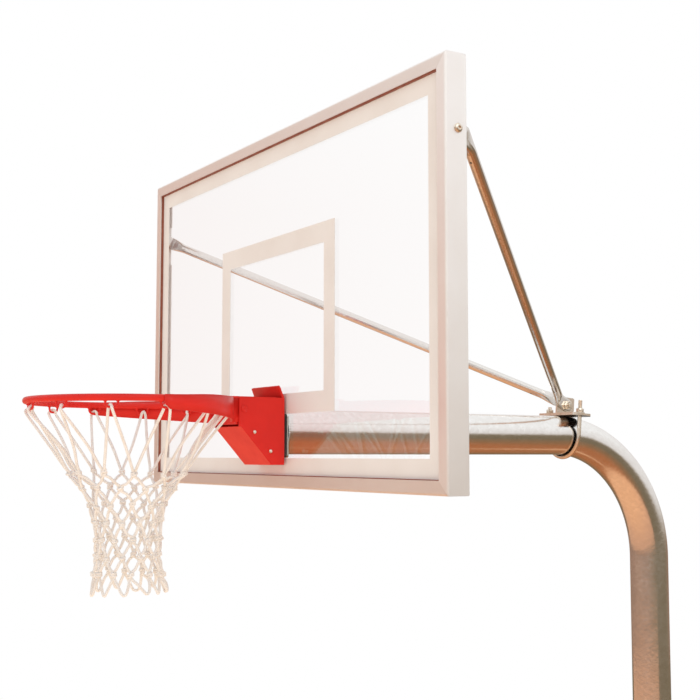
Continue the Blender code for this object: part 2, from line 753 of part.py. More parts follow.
def build_frame_bolt(label, side):
    """Socket bolt from outside the frame, and its nut inside."""
    at = frame_bolt_place(side)
    outward = Vector((side, 0, 0))
    seat = at + outward * GAP
    radius = FRAME_BOLT_HEAD / 2
    tall = FRAME_BOLT_HEAD_HEIGHT
    inner_face = FRAME_WALL + BRACE_FLAT + 3 * GAP
    reach = inner_face + FRAME_NUT_HEIGHT + FRAME_BOLT_PAST
    profile = [(0, tall), (radius * 0.55, tall), (radius * 0.85, tall * 0.75), (radius, tall * 0.3),
               (radius, 0), (FRAME_BOLT / 2, 0), (FRAME_BOLT / 2, -reach), (0, -reach)]
    screw = turned(f"frame_bolt_{label}", profile, "X", seat, 16, flip=side < 0)
    socket = plate(f"frame_bolt_socket_{label}", [hexagon(FRAME_BOLT_SOCKET)], tall, "X",
                   seat + outward * (tall * 0.4 + tall / 2))
    steel(cut(screw, socket))
    middle = at - outward * (inner_face + FRAME_NUT_HEIGHT / 2)
    nut = plate(f"frame_nut_{label}", [hexagon(FRAME_NUT_HEX, flats_first=True),
                                       circle((0, 0), FRAME_BOLT + 2 * BOLT_PLAY)],
                FRAME_NUT_HEIGHT, "X", middle)
    steel(nut)


# Clamp on the arm, square to the pipe where it starts to bend
def on_clamp(obj):
    """Move a piece from the clamp's own frame, at the crest of the pipe, to the world."""
    obj.matrix_world = CLAMP @ obj.matrix_world
    return obj


def build_saddle():
    """Plate across the pipe with its upright tab, and the bolt that holds the braces."""
    spread = U_BOLT_SPREAD / 2
    leg_hole = U_BOLT_ROD + 2 * BOLT_PLAY
    outline = rounded(rectangle(SADDLE_LENGTH, SADDLE_WIDTH), 0.010)
    saddle = plate("brace_saddle", [outline, circle((-spread, 0), leg_hole),
                                    circle((spread, 0), leg_hole)],
                   SADDLE_PLATE, "Z", (0, 0, GAP + SADDLE_PLATE / 2))
    foot = GAP + SADDLE_PLATE / 2
    half = SADDLE_WIDTH / 2
    tab_outline = rounded([(-half, foot), (half, foot), (half, TAB_TOP), (-half, TAB_TOP)],
                          [0, 0, 0.006, 0.006])
    bolt_hole = TAB_BOLT + 2 * BOLT_PLAY
    tab_hole = circle((TAB_BOLT_SETBACK, TAB_BOLT_HEIGHT), bolt_hole)
    tab = on_clamp(plate("brace_tab", [tab_outline, tab_hole], TAB_THICKNESS, "X", (0, 0, 0)))
    steel(weld_on(on_clamp(saddle), tab))

    stack = TAB_THICKNESS / 2 + 2 * GAP + BRACE_FLAT
    length = 2 * stack + 2 * GAP + TAB_NUT_HEIGHT + TAB_BOLT_PAST
    steel(bolt("tab_bolt", (HALF_INCH_HEX, HEX_HEAD_HEIGHT), TAB_BOLT, length,
               TAB_BOLT_AT - Vector((stack + GAP / 2, 0, 0)), (1, 0, 0)))
    nut = plate("tab_nut", [hexagon(TAB_NUT_HEX), circle((0, 0), bolt_hole)], TAB_NUT_HEIGHT, "X",
                TAB_BOLT_AT + Vector((stack + GAP + TAB_NUT_HEIGHT / 2, 0, 0)))
    steel(nut)


def build_u_bolt():
    """U-bolt round the pipe, with a washer and a nut on each leg."""
    spread = U_BOLT_SPREAD / 2
    leg_hole = U_BOLT_ROD + 2 * BOLT_PLAY
    arc_z = spread - POST_DIAMETER - GAP - U_BOLT_ROD / 2
    path = [(-spread, 0, U_BOLT_LEFT_LEG)]
    for step in range(U_BOLT_STEPS + 1):
        angle = math.pi * step / U_BOLT_STEPS
        path.append((-spread * math.cos(angle), 0, arc_z - spread * math.sin(angle)))
    path.append((spread, 0, U_BOLT_RIGHT_LEG))
    steel(on_clamp(rod("u_bolt", [path], U_BOLT_ROD, 12)))
    washer_z = GAP + SADDLE_PLATE + GAP + WASHER_THICKNESS / 2
    nut_z = washer_z + WASHER_THICKNESS / 2 + GAP + U_NUT_HEIGHT / 2
    for label, side in (("left", -1), ("right", 1)):
        washer = plate(f"u_bolt_washer_{label}", [circle((0, 0), WASHER_DIAMETER, 20),
                                                  circle((0, 0), leg_hole)],
                       WASHER_THICKNESS, "Z", (side * spread, 0, washer_z), 40)
        steel(on_clamp(washer))
        nut = plate(f"u_bolt_nut_{label}", [hexagon(HALF_INCH_HEX), circle((0, 0), leg_hole)],
                    U_NUT_HEIGHT, "Z", (side * spread, 0, nut_z))
        steel(on_clamp(nut))


# Rim bracket, the fixed half of the breakaway rim
def side_view(points):
    """Turn (depth in front of the glass, height over the edge) into world (Y, Z)."""
    return [(y_front(depth), z_edge(height)) for depth, height in points]


def build_bracket():
    """Back plate with its leaning guard, two cheeks, and the seats of the springs."""
    run = math.hypot(GUARD_LEAN, GUARD_RISE)
    lean = (GUARD_LEAN / run, GUARD_RISE / run)
    tip = (BACK_REAR + GUARD_LEAN, LIP_FOOT + GUARD_RISE)
    tip_front = (tip[0] + BACK_PLATE * lean[1], tip[1] - BACK_PLATE * lean[0])
    knee = LIP_FOOT - BACK_PLATE * (1 - lean[1]) / lean[0]
    section = side_view([(BACK_REAR, BRACKET_LOW), (BACK_REAR, LIP_FOOT), tip, tip_front,
                         (BACK_FRONT, knee), (BACK_FRONT, BRACKET_LOW)])
    bracket = plate("rim_bracket", [section], BRACKET_WIDTH, "X", (0, 0, 0))
    guard_top = z_edge(LIP_FOOT + GUARD_RISE)
    corners = []
    for label, side in (("left", -1), ("right", 1)):
        edge = side * HALF_BRACKET
        past = edge + side * GUARD_ROUND
        arc = [(edge - side * GUARD_ROUND * (1 - math.cos(turn)),
                guard_top - GUARD_ROUND * (1 - math.sin(turn)))
               for turn in np.linspace(0, math.pi / 2, 5)]
        outline = [(past, arc[0][1])] + arc + [(arc[-1][0], guard_top + GUARD_ROUND),
                                               (past, guard_top + GUARD_ROUND)]
        corners.append(plate(f"guard_corner_{label}", [outline], 4 * GUARD_LEAN, "Y",
                             (0, y_front(BACK_REAR + GUARD_LEAN), 0)))
    cut(bracket, *corners)

    root = (BACK_REAR + BACK_FRONT) / 2
    top_root = root + GUARD_LEAN * (BRACKET_TOP - LIP_FOOT) / GUARD_RISE
    cheek_points = [(root, BRACKET_LOW), (LOW_DEPTH, BRACKET_LOW), (CHIN_DEPTH, BRACKET_CHIN),
                    (BRACKET_FRONT, BRACKET_CHIN), (BRACKET_FRONT, BRACKET_TOP),
                    (top_root, BRACKET_TOP), (root, LIP_FOOT)]
    outline = rounded(side_view(cheek_points), [0, 0.004, 0, 0, 0.003, 0, 0])
    pin_hole = circle(side_view([(PIVOT_DEPTH, PIVOT_ABOVE_EDGE)])[0], PIVOT_PIN + 2 * BOLT_PLAY)
    screw_holes = [circle(at, COVER_SCREW + 2 * BOLT_PLAY, 10) for at in side_view(COVER_SCREWS)]
    welded = []
    for label, side in (("left", -1), ("right", 1)):
        x = side * (HALF_BRACKET - BRACKET_WALL / 2)
        welded.append(plate(f"bracket_cheek_{label}", [outline, pin_hole] + screw_holes,
                            BRACKET_WALL, "X", (x, 0, 0)))
        seat_length = BACK_FRONT - root + REAR_SEAT_LENGTH
        welded.append(cylinder(f"bracket_seat_{label}", SEAT_DIAMETER, seat_length,
                               (side * SPRING_SPACING / 2, y_front(root + seat_length / 2),
                                z_edge(SPRING_ABOVE_EDGE)), (0, 1, 0)))
    weld_on(bracket, *welded)
    holes = [cylinder(f"bracket_hole_{index}", 2 * MOUNT_HOLE, 4 * BACK_PLATE,
                      (x, y_front(BACK_FRONT), z_edge(height)), (0, 1, 0))
             for index, (x, height) in enumerate(mount_centres())]
    cut(bracket, *holes)
    paint(bracket, RED, 0.1, 0.35)

    pad_middle = (PAD_LOW + PAD_HIGH) / 2
    pad = plate("rim_pad", [rounded(rectangle(BRACKET_WIDTH, PAD_HIGH - PAD_LOW), 0.003)]
                + mount_holes(2 * MOUNT_HOLE, pad_middle),
                PAD_THICKNESS, "Y", (0, y_front(GAP + PAD_THICKNESS / 2), z_edge(pad_middle)))
    paint(pad, RUBBER, 0, 0.8)


def build_cover():
    """Sloping cover under the bracket, with a flange inside each cheek, and its screws."""
    start = Vector((CHIN_DEPTH, BRACKET_CHIN))
    low = Vector((LOW_DEPTH, BRACKET_LOW))
    along = (low - start).normalized()
    inward = Vector((along.y, -along.x))
    rear = BACK_FRONT + GAP
    corner = COVER_THICKNESS * math.tan(along.angle(Vector((-1, 0))) / 2)
    sheet = side_view([start, low, (rear, BRACKET_LOW), (rear, BRACKET_LOW + COVER_THICKNESS),
                       (LOW_DEPTH - corner, BRACKET_LOW + COVER_THICKNESS),
                       start + inward * COVER_THICKNESS])
    width = 2 * (INSIDE - GAP)
    cover = plate("bracket_cover", [sheet], width, "X", (0, 0, 0))
    inner_low = low + inward * COVER_FLANGE
    rise = (COVER_FLANGE_TOP - inner_low.y) / -along.y
    inner_top = inner_low - along * rise
    overlap = inward * (COVER_THICKNESS / 2)
    flange = side_view([start + overlap, low + overlap, inner_low, inner_top])
    holes = [circle(at, COVER_SCREW + 2 * BOLT_PLAY, 10) for at in side_view(COVER_SCREWS)]
    flanges = []
    for label, side in (("left", -1), ("right", 1)):
        x = side * (INSIDE - GAP - COVER_THICKNESS / 2)
        flanges.append(plate(f"cover_flange_{label}", [flange] + holes, COVER_THICKNESS, "X",
                             (x, 0, 0)))
    paint(weld_on(cover, *flanges), RED, 0.1, 0.4)

    head = COVER_SCREW_HEAD / 2
    reach = BRACKET_WALL + COVER_THICKNESS + 3 * GAP + 0.0015
    profile = [(0, 0.003), (head * 0.6, 0.0027), (head * 0.93, 0.0016), (head, 0), (COVER_SCREW / 2, 0),
               (COVER_SCREW / 2, -reach), (0, -reach)]
    for label, side in (("left", -1), ("right", 1)):
        for index, at in enumerate(side_view(COVER_SCREWS)):
            screw = turned(f"cover_screw_{label}_{index + 1}", profile, "X",
                           (side * (HALF_BRACKET + GAP), *at), 10, flip=side < 0)
            steel(screw)


def build_mount_bolts():
    """Four bolts through bracket, pad and glass into the arm's plate, with their bushings."""
    length = BACK_FRONT + GAP + PLATE_REAR + MOUNT_BOLT_PAST
    for index, (x, height) in enumerate(mount_centres()):
        steel(bolt(f"mount_bolt_{index + 1}", (HALF_INCH_HEX, HEX_HEAD_HEIGHT), MOUNT_BOLT, length,
                   (x, y_front(BACK_FRONT + GAP), z_edge(height)), (0, 1, 0)))
        outside = 2 * (MOUNT_HOLE + BUSHING_WALL)
        bushing = plate(f"glass_bushing_{index + 1}",
                        [circle((0, 0), outside), circle((0, 0), 2 * MOUNT_HOLE)], GLASS_THICKNESS,
                        "Y", (x, y_behind(GLASS_THICKNESS / 2), z_edge(height)), 40)
        paint(bushing, BUSH, 0, 0.5)


# The moving half: everything below swings about the pivot
SWING = bpy.data.objects.new("rim_pivot_axis", None)
SWING.location = PIVOT
PARTS.objects.link(SWING)


def swings(obj):
    """Hang a piece on the empty at the pivot, where it stands."""
    obj.parent = SWING
    obj.matrix_parent_inverse = Matrix.Translation(PIVOT).inverted()
    return obj


def build_pivot():
    """Pin through the bracket, its cap, and the sleeve that turns on it."""
    reach = BRACKET_WIDTH + GAP + PIVOT_PAST
    radius = PIVOT_PIN / 2
    head = PIVOT_HEAD / 2
    tall = PIVOT_HEAD_HEIGHT
    profile = [(0, tall), (head * 0.6, tall * 0.9), (head * 0.9, tall * 0.5), (head, 0), (radius, 0),
               (radius, -reach), (0, -reach)]
    pin = turned("pivot_pin", profile, "X", PIVOT + Vector((HALF_BRACKET + GAP, 0, 0)), 20)
    paint(pin, RED, 0.1, 0.35)
    bore = radius + BOLT_PLAY
    cap_profile = [(bore, CAP_LENGTH), (head, CAP_LENGTH), (head, tall * 0.5), (head * 0.7, 0),
                   (0, 0), (0, 0.001), (bore, 0.001), (bore, CAP_LENGTH)]
    cap_at = PIVOT - Vector((HALF_BRACKET + GAP + CAP_LENGTH, 0, 0))
    paint(turned("pivot_cap", cap_profile, "X", cap_at, 20), RED, 0.1, 0.4)
    sleeve = plate("pivot_sleeve", [circle((0, 0), PIVOT_SLEEVE, 20), circle((0, 0), 2 * bore, 20)],
                   2 * (EAR_INNER - GAP), "X", PIVOT, 40)
    swings(paint(sleeve, RED, 0.1, 0.4))


def lever_low():
    """Height of the lever's lower edge, where it rests on the sloping cover."""
    slope = (CHIN_DEPTH - LOW_DEPTH) / (BRACKET_CHIN - BRACKET_LOW)
    sheet = (COVER_THICKNESS + GAP) * math.hypot(1, slope)
    front_face = LEVER + ARM_PLATE
    return BRACKET_CHIN - (CHIN_DEPTH - sheet - front_face) / slope


def build_arm():
    """Top plate over the bracket, the web behind the ring and the lever on the springs."""
    low = BOARD_BELOW_RIM + STRAP_RISE + GAP
    top = low + ARM_PLATE
    arm = plate("rim_arm", [rounded(rectangle(2 * EAR_OUTER, ARM_FRONT - ARM_REAR), 0.006)],
                ARM_PLATE, "Z", (0, y_front((ARM_FRONT + ARM_REAR) / 2), z_edge((low + top) / 2)))
    web_top = low + ARM_PLATE / 2
    webs = []
    for name, depth, foot in (("front_web", FRONT_WEB, FRONT_WEB_LOW), ("lever", LEVER, lever_low())):
        webs.append(box(name, (2 * (EAR_INNER - GAP), ARM_PLATE, web_top - foot),
                        (0, y_front(depth + ARM_PLATE / 2), z_edge((web_top + foot) / 2))))
    for label, side in (("left", -1), ("right", 1)):
        length = LEVER_SEAT_LENGTH + ARM_PLATE / 2
        webs.append(cylinder(f"lever_seat_{label}", SEAT_DIAMETER, length,
                             (side * SPRING_SPACING / 2,
                              y_front(LEVER + ARM_PLATE / 2 - length / 2),
                              z_edge(SPRING_ABOVE_EDGE)), (0, 1, 0)))
    swings(paint(weld_on(arm, *webs), RED, 0.1, 0.4))


def strap_route():
    """Plan of the right strap from its ear to its tip, as X, Y and length run."""
    radius = RING_RADIUS + RING_ROD / 2 + GAP + STRAP_THICKNESS / 2
    ear = Vector((EAR_CENTRE, y_front(STRAP_EAR_END)))
    bend = Vector((EAR_CENTRE, y_front(STRAP_BEND)))
    centre = Vector((0, RING_Y))
    out = bend - centre
    tangent = math.atan2(out.y, out.x) - math.acos(radius / out.length)
    tip = math.radians(STRAP_TIP_ANGLE)
    points = [ear, ear.lerp(bend, 0.9), bend]
    touch = centre + radius * Vector((math.cos(tangent), math.sin(tangent)))
    for share in (0.2, 0.4, 0.6, 0.8):
        points.append(bend.lerp(touch, share))
    steps = max(2, round((tangent - tip) * radius / 0.022))
    for step in range(steps + 1):
        angle = tangent + (tip - tangent) * step / steps
        points.append(centre + radius * Vector((math.cos(angle), math.sin(angle))))
    before_tip = points[-2].lerp(points[-1], 0.45)
    points.insert(-1, before_tip)
    runs = [0.0]
    for one, two in zip(points, points[1:]):
        runs.append(runs[-1] + (two - one).length)
    return points, runs


def build_strap(name, side):
    """Flat bar on edge: hinge ear in the bracket, then round the outside of the ring."""
    points, runs = strap_route()
    total = runs[-1]
    top = BOARD_BELOW_RIM + STRAP_RISE
    tip_low = BOARD_BELOW_RIM - RING_ROD / 2 - STRAP_TIP_DROP
    bend_run = STRAP_BEND - STRAP_EAR_END
    vertices = []
    for point, run in zip(points, runs):
        share = max(0.0, (run - bend_run) / (total - bend_run))
        low = STRAP_EAR_LOW + (tip_low - STRAP_EAR_LOW) * share
        left = total - run
        if left < STRAP_TIP_ROUND:
            low += STRAP_TIP_ROUND * (1 - math.sqrt(1 - (1 - left / STRAP_TIP_ROUND) ** 2))
        vertices.append((side * point.x, point.y, z_edge(low)))
        vertices.append((side * point.x, point.y, z_edge(top)))
    faces = [(2 * k, 2 * k + 2, 2 * k + 3, 2 * k + 1) for k in range(len(points) - 1)]
    mesh = bpy.data.meshes.new(name)
    mesh.from_pydata(vertices, [], faces)
    strap = place(name, mesh)
    wall = strap.modifiers.new("bar", "SOLIDIFY")
    wall.thickness = STRAP_THICKNESS
    wall.offset = 0
    wall.use_even_offset = True
    hole = cylinder(name + "_hole", PIVOT_PIN + 2 * BOLT_PLAY, 4 * STRAP_THICKNESS,
                    (side * EAR_CENTRE, PIVOT.y, PIVOT.z), (1, 0, 0))
    swings(paint(cut(strap, hole), RED, 0.1, 0.35))


def hook_radius():
    """Distance of the hooks' wire from the ring's axis."""
    return RING_RADIUS - HOOK_INSET


def build_ring():
    """Ring of round bar with a wire loop for each corner of the net."""
    bpy.ops.mesh.primitive_torus_add(major_segments=RING_STEPS, minor_segments=RING_ROD_SIDES,
                                     major_radius=RING_RADIUS, minor_radius=RING_ROD / 2,
                                     location=(0, RING_Y, RING_Z))
    ring = bpy.context.object
    ring.name = "rim_ring"
    for collection in ring.users_collection:
        collection.objects.unlink(ring)
    PARTS.objects.link(ring)
    ring.data.shade_smooth()
    radius = hook_radius()
    half = HOOK_WIDTH / 2
    bend = HOOK_WIDTH * 0.35
    loops = []
    for k in range(HOOK_COUNT):
        angle = 2 * math.pi * k / HOOK_COUNT
        out = Vector((math.cos(angle), math.sin(angle), 0))
        side = Vector((-out.y, out.x, 0))
        middle = Vector((0, RING_Y, RING_Z)) + out * radius
        path = [middle - side * half + Vector((0, 0, -RING_ROD * 0.2))]
        for step in range(4):
            turn = math.pi / 2 * step / 3
            path.append(middle - side * (half - bend + bend * math.cos(turn))
                        - Vector((0, 0, HOOK_DROP - bend + bend * math.sin(turn))))
        for step in range(4):
            turn = math.pi / 2 * (1 - step / 3)
            path.append(middle + side * (half - bend + bend * math.cos(turn))
                        - Vector((0, 0, HOOK_DROP - bend + bend * math.sin(turn))))
        path.append(middle + side * half + Vector((0, 0, -RING_ROD * 0.2)))
        loops.append([tuple(point) for point in path])
    hooks = rod("net_hooks", loops, HOOK_WIRE, 6)
    swings(paint(weld_on(ring, hooks), RED, 0.1, 0.35))


def build_net():
    """Net as a tube of diamonds between its rows of knots, each side a cord."""
    hook_to_cord = HOOK_WIRE / 2 + NET_CORD / 2 + GAP
    rows = [(HOOK_DROP, hook_radius() - hook_to_cord)] + list(NET_ROWS)
    vertices = []
    for row, (drop, radius) in enumerate(rows):
        shift = 0.5 * (row % 2)
        for k in range(HOOK_COUNT):
            angle = 2 * math.pi * (k + shift) / HOOK_COUNT
            vertices.append((radius * math.cos(angle), RING_Y + radius * math.sin(angle),
                             RING_Z - drop))
    faces = []
    for row in range(len(rows) - 2):
        shift = row % 2
        for k in range(HOOK_COUNT):
            before = (k - 1 + shift) % HOOK_COUNT
            after = (k + shift) % HOOK_COUNT
            faces.append((row * HOOK_COUNT + k, (row + 1) * HOOK_COUNT + before,
                          (row + 2) * HOOK_COUNT + k, (row + 1) * HOOK_COUNT + after))
    mesh = bpy.data.meshes.new("net")
    mesh.from_pydata(vertices, [], faces)
    net = place("net", mesh)
    cords = net.modifiers.new("cords", "WIREFRAME")
    cords.thickness = NET_CORD
    cords.use_even_offset = True
    cords.use_boundary = True
    cords.use_replace = True
    swings(paint(net, NYLON, 0, 0.8))


# Springs, held by the bracket, that press on the lever
def build_spring(name, side):
    """Compression spring along Y, pushing the lever on to its stop."""
    radius = SPRING_DIAMETER / 2
    clear = GAP + SPRING_WIRE / 2
    start = y_front(BACK_FRONT) - clear
    end = y_front(LEVER) + clear
    count = SPRING_TURNS * SPRING_TURN_POINTS + 1
    turn = np.linspace(0, SPRING_TURNS * 2 * math.pi, count)
    path = np.stack([side * SPRING_SPACING / 2 + radius * np.cos(turn),
                     np.linspace(start, end, count),
                     z_edge(SPRING_ABOVE_EDGE) + radius * np.sin(turn)], axis=1)
    spring = rod(name, [[tuple(point) for point in path]], SPRING_WIRE, 6)
    apart = np.linalg.norm(path[:, None] - path[None], axis=2)
    index = np.arange(count)
    far = np.abs(index[:, None] - index[None]) > SPRING_TURN_POINTS // 2
    print(f"{name}: least gap to itself {(apart[far].min() - SPRING_WIRE) * 1000:.2f} mm")
    steel(spring)


build_post()
build_end_plate()
build_frame()
build_glass()
build_brace("brace_right", 1)
build_brace("brace_left", -1)
build_frame_bolt("right", 1)
build_frame_bolt("left", -1)
build_saddle()
build_u_bolt()
build_bracket()
build_cover()
build_mount_bolts()
build_pivot()
build_arm()
build_strap("rim_strap_right", 1)
build_strap("rim_strap_left", -1)
build_ring()
build_net()
build_spring("spring_right", 1)
build_spring("spring_left", -1)
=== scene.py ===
"""In-ground basketball hoop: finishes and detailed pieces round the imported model.

Metres, +Z up. The origin is where the post's axis meets the ground, +X is to the
right as seen from the court and -Y points to the court. Sizes repeat the part's
own, so each piece lies where its CAD node is.
"""
import logging
from dataclasses import dataclass, field
from enum import Enum
from math import atan2, cos, degrees, pi, radians, sin, tau

import bmesh
import bpy
import numpy as np
from bpy.types import Material, Mesh, Node, Object
from bpy.types import NodeSocket as Socket
from bpy.types import NodeTree as Tree
from mathutils import Matrix, Vector


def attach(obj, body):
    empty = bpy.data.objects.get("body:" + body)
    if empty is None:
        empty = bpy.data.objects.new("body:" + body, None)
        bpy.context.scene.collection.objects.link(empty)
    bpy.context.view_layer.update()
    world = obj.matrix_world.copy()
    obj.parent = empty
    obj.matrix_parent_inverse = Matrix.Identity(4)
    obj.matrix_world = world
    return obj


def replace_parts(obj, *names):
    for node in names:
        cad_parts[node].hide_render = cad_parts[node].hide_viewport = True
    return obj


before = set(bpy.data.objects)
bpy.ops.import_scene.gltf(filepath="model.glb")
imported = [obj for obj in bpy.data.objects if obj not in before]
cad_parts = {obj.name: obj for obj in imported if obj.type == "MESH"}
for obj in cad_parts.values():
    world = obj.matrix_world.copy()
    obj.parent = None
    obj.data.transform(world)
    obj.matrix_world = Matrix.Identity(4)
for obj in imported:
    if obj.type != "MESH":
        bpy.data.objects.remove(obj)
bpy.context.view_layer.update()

LOG = logging.getLogger("hoop")

# Places shared by several pieces, as in the part's source
ARM_Z = 2.9726
POST_RADIUS = 0.05715
BEND_RADIUS = 0.370
RING_CENTRE = np.array([0.0, -1.702, 3.040])
RING_RADIUS = 0.2366
ROD_RADIUS = 0.008
HOOK_COUNT = 12
HOOK_RADIUS = 0.2336
HOOK_WIRE = 0.005
HOOK_DROP = 0.0215
CLAMP_TILT = 4.8
RIM = "rim"
STAND = "stand"

Array = np.ndarray
UP = np.array([0, 0, 1.0])
WHITE = "#FFFFFF"
CAP_MAP_RADIUS = 0.001  # of a flat end in the UV map
NOISE_SPAN = (0.3, 0.7)  # what soft noise mostly keeps between


class Grain(Enum):
    """Direction in which a bar was drawn or rolled."""

    ALONG_X = (1.0, 40.0, 40.0)
    ALONG_Z = (40.0, 40.0, 1.0)


def clamp_place() -> Matrix:
    """Place of the crest of the pipe at the clamp, tilted as the bend is there.

    Returns:
        The place's matrix.
    """
    return (Matrix.Translation((0, -BEND_RADIUS, ARM_Z - BEND_RADIUS))
            @ Matrix.Rotation(-radians(CLAMP_TILT), 4, "X")
            @ Matrix.Translation((0, 0, BEND_RADIUS + POST_RADIUS)))


# Materials
def linear(code: str) -> tuple[float, float, float, float]:
    """Turn an sRGB hex colour into linear RGBA.

    Args:
        code: colour as "#RRGGBB".

    Returns:
        Linear red, green, blue and an alpha of one.
    """
    shares = [int(code[k:k + 2], 16) / 255 for k in (1, 3, 5)]
    parts = [s / 12.92 if s <= 0.04045 else ((s + 0.055) / 1.055) ** 2.4 for s in shares]
    return (*parts, 1.0)


def set_inputs(node: Node, inputs: dict) -> None:
    """Set or link a node's inputs.

    Args:
        node: the node.
        inputs: input name or number to a value, a hex colour, or a socket that is linked.
    """
    for name, value in inputs.items():
        if isinstance(value, Socket):
            node.id_data.links.new(value, node.inputs[name])
        else:
            node.inputs[name].default_value = linear(value) if isinstance(value, str) else value


def add_node(tree: Tree, kind: str, inputs: dict | None = None, **settings) -> Node:
    """Add a node, give it its settings, and set or link its inputs.

    Args:
        tree: the node tree.
        kind: the node's type without its "ShaderNode" prefix.
        inputs: as for set_inputs.
        settings: attributes of the node.

    Returns:
        The new node.
    """
    node = tree.nodes.new("ShaderNode" + kind)
    for name, value in settings.items():
        setattr(node, name, value)
    set_inputs(node, inputs or {})
    return node


def coordinates(tree: Tree, kind: str = "Object") -> Socket:
    """Texture coordinates of a kind."""
    return add_node(tree, "TexCoord").outputs[kind]


def split(tree: Tree, vector: Socket) -> bpy.types.bpy_prop_collection:
    """X, Y and Z of a vector, by name."""
    return add_node(tree, "SeparateXYZ", {"Vector": vector}).outputs


def maths(tree: Tree, operation: str, *values: Socket | float) -> Socket:
    """Result of an operation on values and sockets."""
    return add_node(tree, "Math", dict(enumerate(values)), operation=operation).outputs[0]


def blend(tree: Tree, share: Socket, one: Socket | str, two: Socket | str) -> Socket:
    """Mix two colours, each a hex code or a socket: a share of 0 gives the first, 1 the second."""
    return add_node(tree, "Mix", {0: share, 6: one, 7: two}, data_type="RGBA").outputs[2]


def spread(tree: Tree, value: Socket, span: tuple, to_range: tuple = (0, 1)) -> Socket:
    """Map a value from a span to a range, held inside it.

    Args:
        tree: the node tree.
        value: the value's socket.
        span: lowest and highest value that come in.
        to_range: what these become.

    Returns:
        The mapped value's socket.
    """
    names = ("Value", "From Min", "From Max", "To Min", "To Max")
    return add_node(tree, "MapRange", dict(zip(names, (value, *span, *to_range)))).outputs["Result"]


def noise(tree: Tree, place: Socket, scale: float, detail: float = 2.0,
          roughness: float = 0.5) -> Socket:
    """Soft noise with so many lumps to the metre."""
    inputs = {"Vector": place, "Scale": scale, "Detail": detail, "Roughness": roughness}
    return add_node(tree, "TexNoise", inputs).outputs["Fac"]


def relief(tree: Tree, height: Socket, strength: float, distance: float,
           **under: Socket) -> Socket:
    """Normal of a bumpy surface.

    Args:
        tree: the node tree.
        height: the height's socket.
        strength: how much of the relief shows.
        distance: metres that a height of one stands for.
        under: Normal of a coarser relief that this one lies on.

    Returns:
        The normal's socket.
    """
    inputs = {"Height": height, "Strength": strength, "Distance": distance, **under}
    return add_node(tree, "Bump", inputs).outputs["Normal"]


@dataclass(frozen=True)
class Finish:
    """A surface finish, made into a material once and kept.

    Soft noise lays patches of another colour and gloss over it, and a finer noise
    gives it relief. A noise is given by its lumps to the metre, detail and roughness.
    """

    name: str
    slot: str
    colour: str
    cloud: tuple = ()
    tint: str = ""
    tint_span: tuple = (0.35, 0.75)  # values of the noise over which the tint comes in
    tint_most: float = 0.6
    gloss: tuple | float = 0.5  # roughness, or its range over the patches
    bumps: tuple = ()
    relief: tuple = (0.15, 0.0001)  # strength, and the metres of a height of one
    metal: float = 0.0
    specular: float = 0.5
    more: tuple = ()  # further inputs of the shader, each with its value

    def tinted(self, tree: Tree, cloud: Socket) -> Socket:
        """The finish's colour with its patches."""
        return blend(tree, spread(tree, cloud, self.tint_span, (0.0, self.tint_most)), self.colour, self.tint)

    def inputs(self, tree: Tree, place: Socket) -> dict:
        """Add this finish's own nodes.

        Args:
            tree: the material's node tree.
            place: the object's coordinates.

        Returns:
            What goes into each input of the shader.
        """
        cloud = noise(tree, place, *self.cloud) if self.cloud else None
        inputs = {"Metallic": self.metal, "Specular IOR Level": self.specular,
                  "Roughness": self.gloss, **dict(self.more)}
        if isinstance(self.gloss, tuple):
            inputs["Roughness"] = spread(tree, cloud, NOISE_SPAN, self.gloss)
        if self.tint:
            inputs["Base Color"] = self.tinted(tree, cloud)
        if self.bumps:
            inputs["Normal"] = relief(tree, noise(tree, place, *self.bumps), *self.relief)
        return inputs

    def material(self) -> Material:
        """Return the finish's material, made on first use.

        Returns:
            The material.
        """
        known = bpy.data.materials.get(self.name)
        if known:
            return known
        material = bpy.data.materials.new(self.name)
        material.use_nodes = True
        tree = material.node_tree
        shader = tree.nodes["Principled BSDF"]
        shader.inputs["Base Color"].default_value = linear(self.colour)
        set_inputs(shader, self.inputs(tree, coordinates(tree)))
        return material


@dataclass(frozen=True)
class GalvanisedTube(Finish):
    """Hot-dip galvanised steel tube, drawn smooth: bright zinc with a faint spangle."""

    cloud: tuple = (26.0, 5.0, 0.65)
    tint: str = "#E6E3DF"
    tint_span: tuple = (0.12, 0.55)  # of the crystals' value times the cloud's, dull where it is low
    tint_most: float = 0.55
    gloss: tuple = (0.16, 0.21)
    spangle: float = 0.009  # metres across a zinc crystal
    layers: tuple = (((1 / 0.30, 1.0), 0.5, 0.0012),  # the shallow waves of a bent tube
                     ((1 / 0.012,), 0.7, 0.0004),  # small dips where the zinc ran
                     ((420.0,), 0.10, 0.0001))  # grit

    def inputs(self, tree: Tree, place: Socket) -> dict:
        """Zinc crystals tint the metal, and layers of relief break up reflections.

        Args:
            tree: the material's node tree.
            place: the object's coordinates.

        Returns:
            What goes into each input of the shader.
        """
        crystals = add_node(tree, "TexVoronoi", {"Vector": place, "Scale": 1 / self.spangle}).outputs["Color"]
        cloud = noise(tree, place, *self.cloud)
        dull = spread(tree, maths(tree, "MULTIPLY", crystals, cloud), self.tint_span, (self.tint_most, 0.0))
        under = {}
        for lumps, strength, distance in self.layers:
            under = {"Normal": relief(tree, noise(tree, place, *lumps), strength, distance, **under)}
        return {"Base Color": blend(tree, dull, self.colour, self.tint),
                "Roughness": spread(tree, cloud, NOISE_SPAN, self.gloss), "Metallic": 1.0, **under}


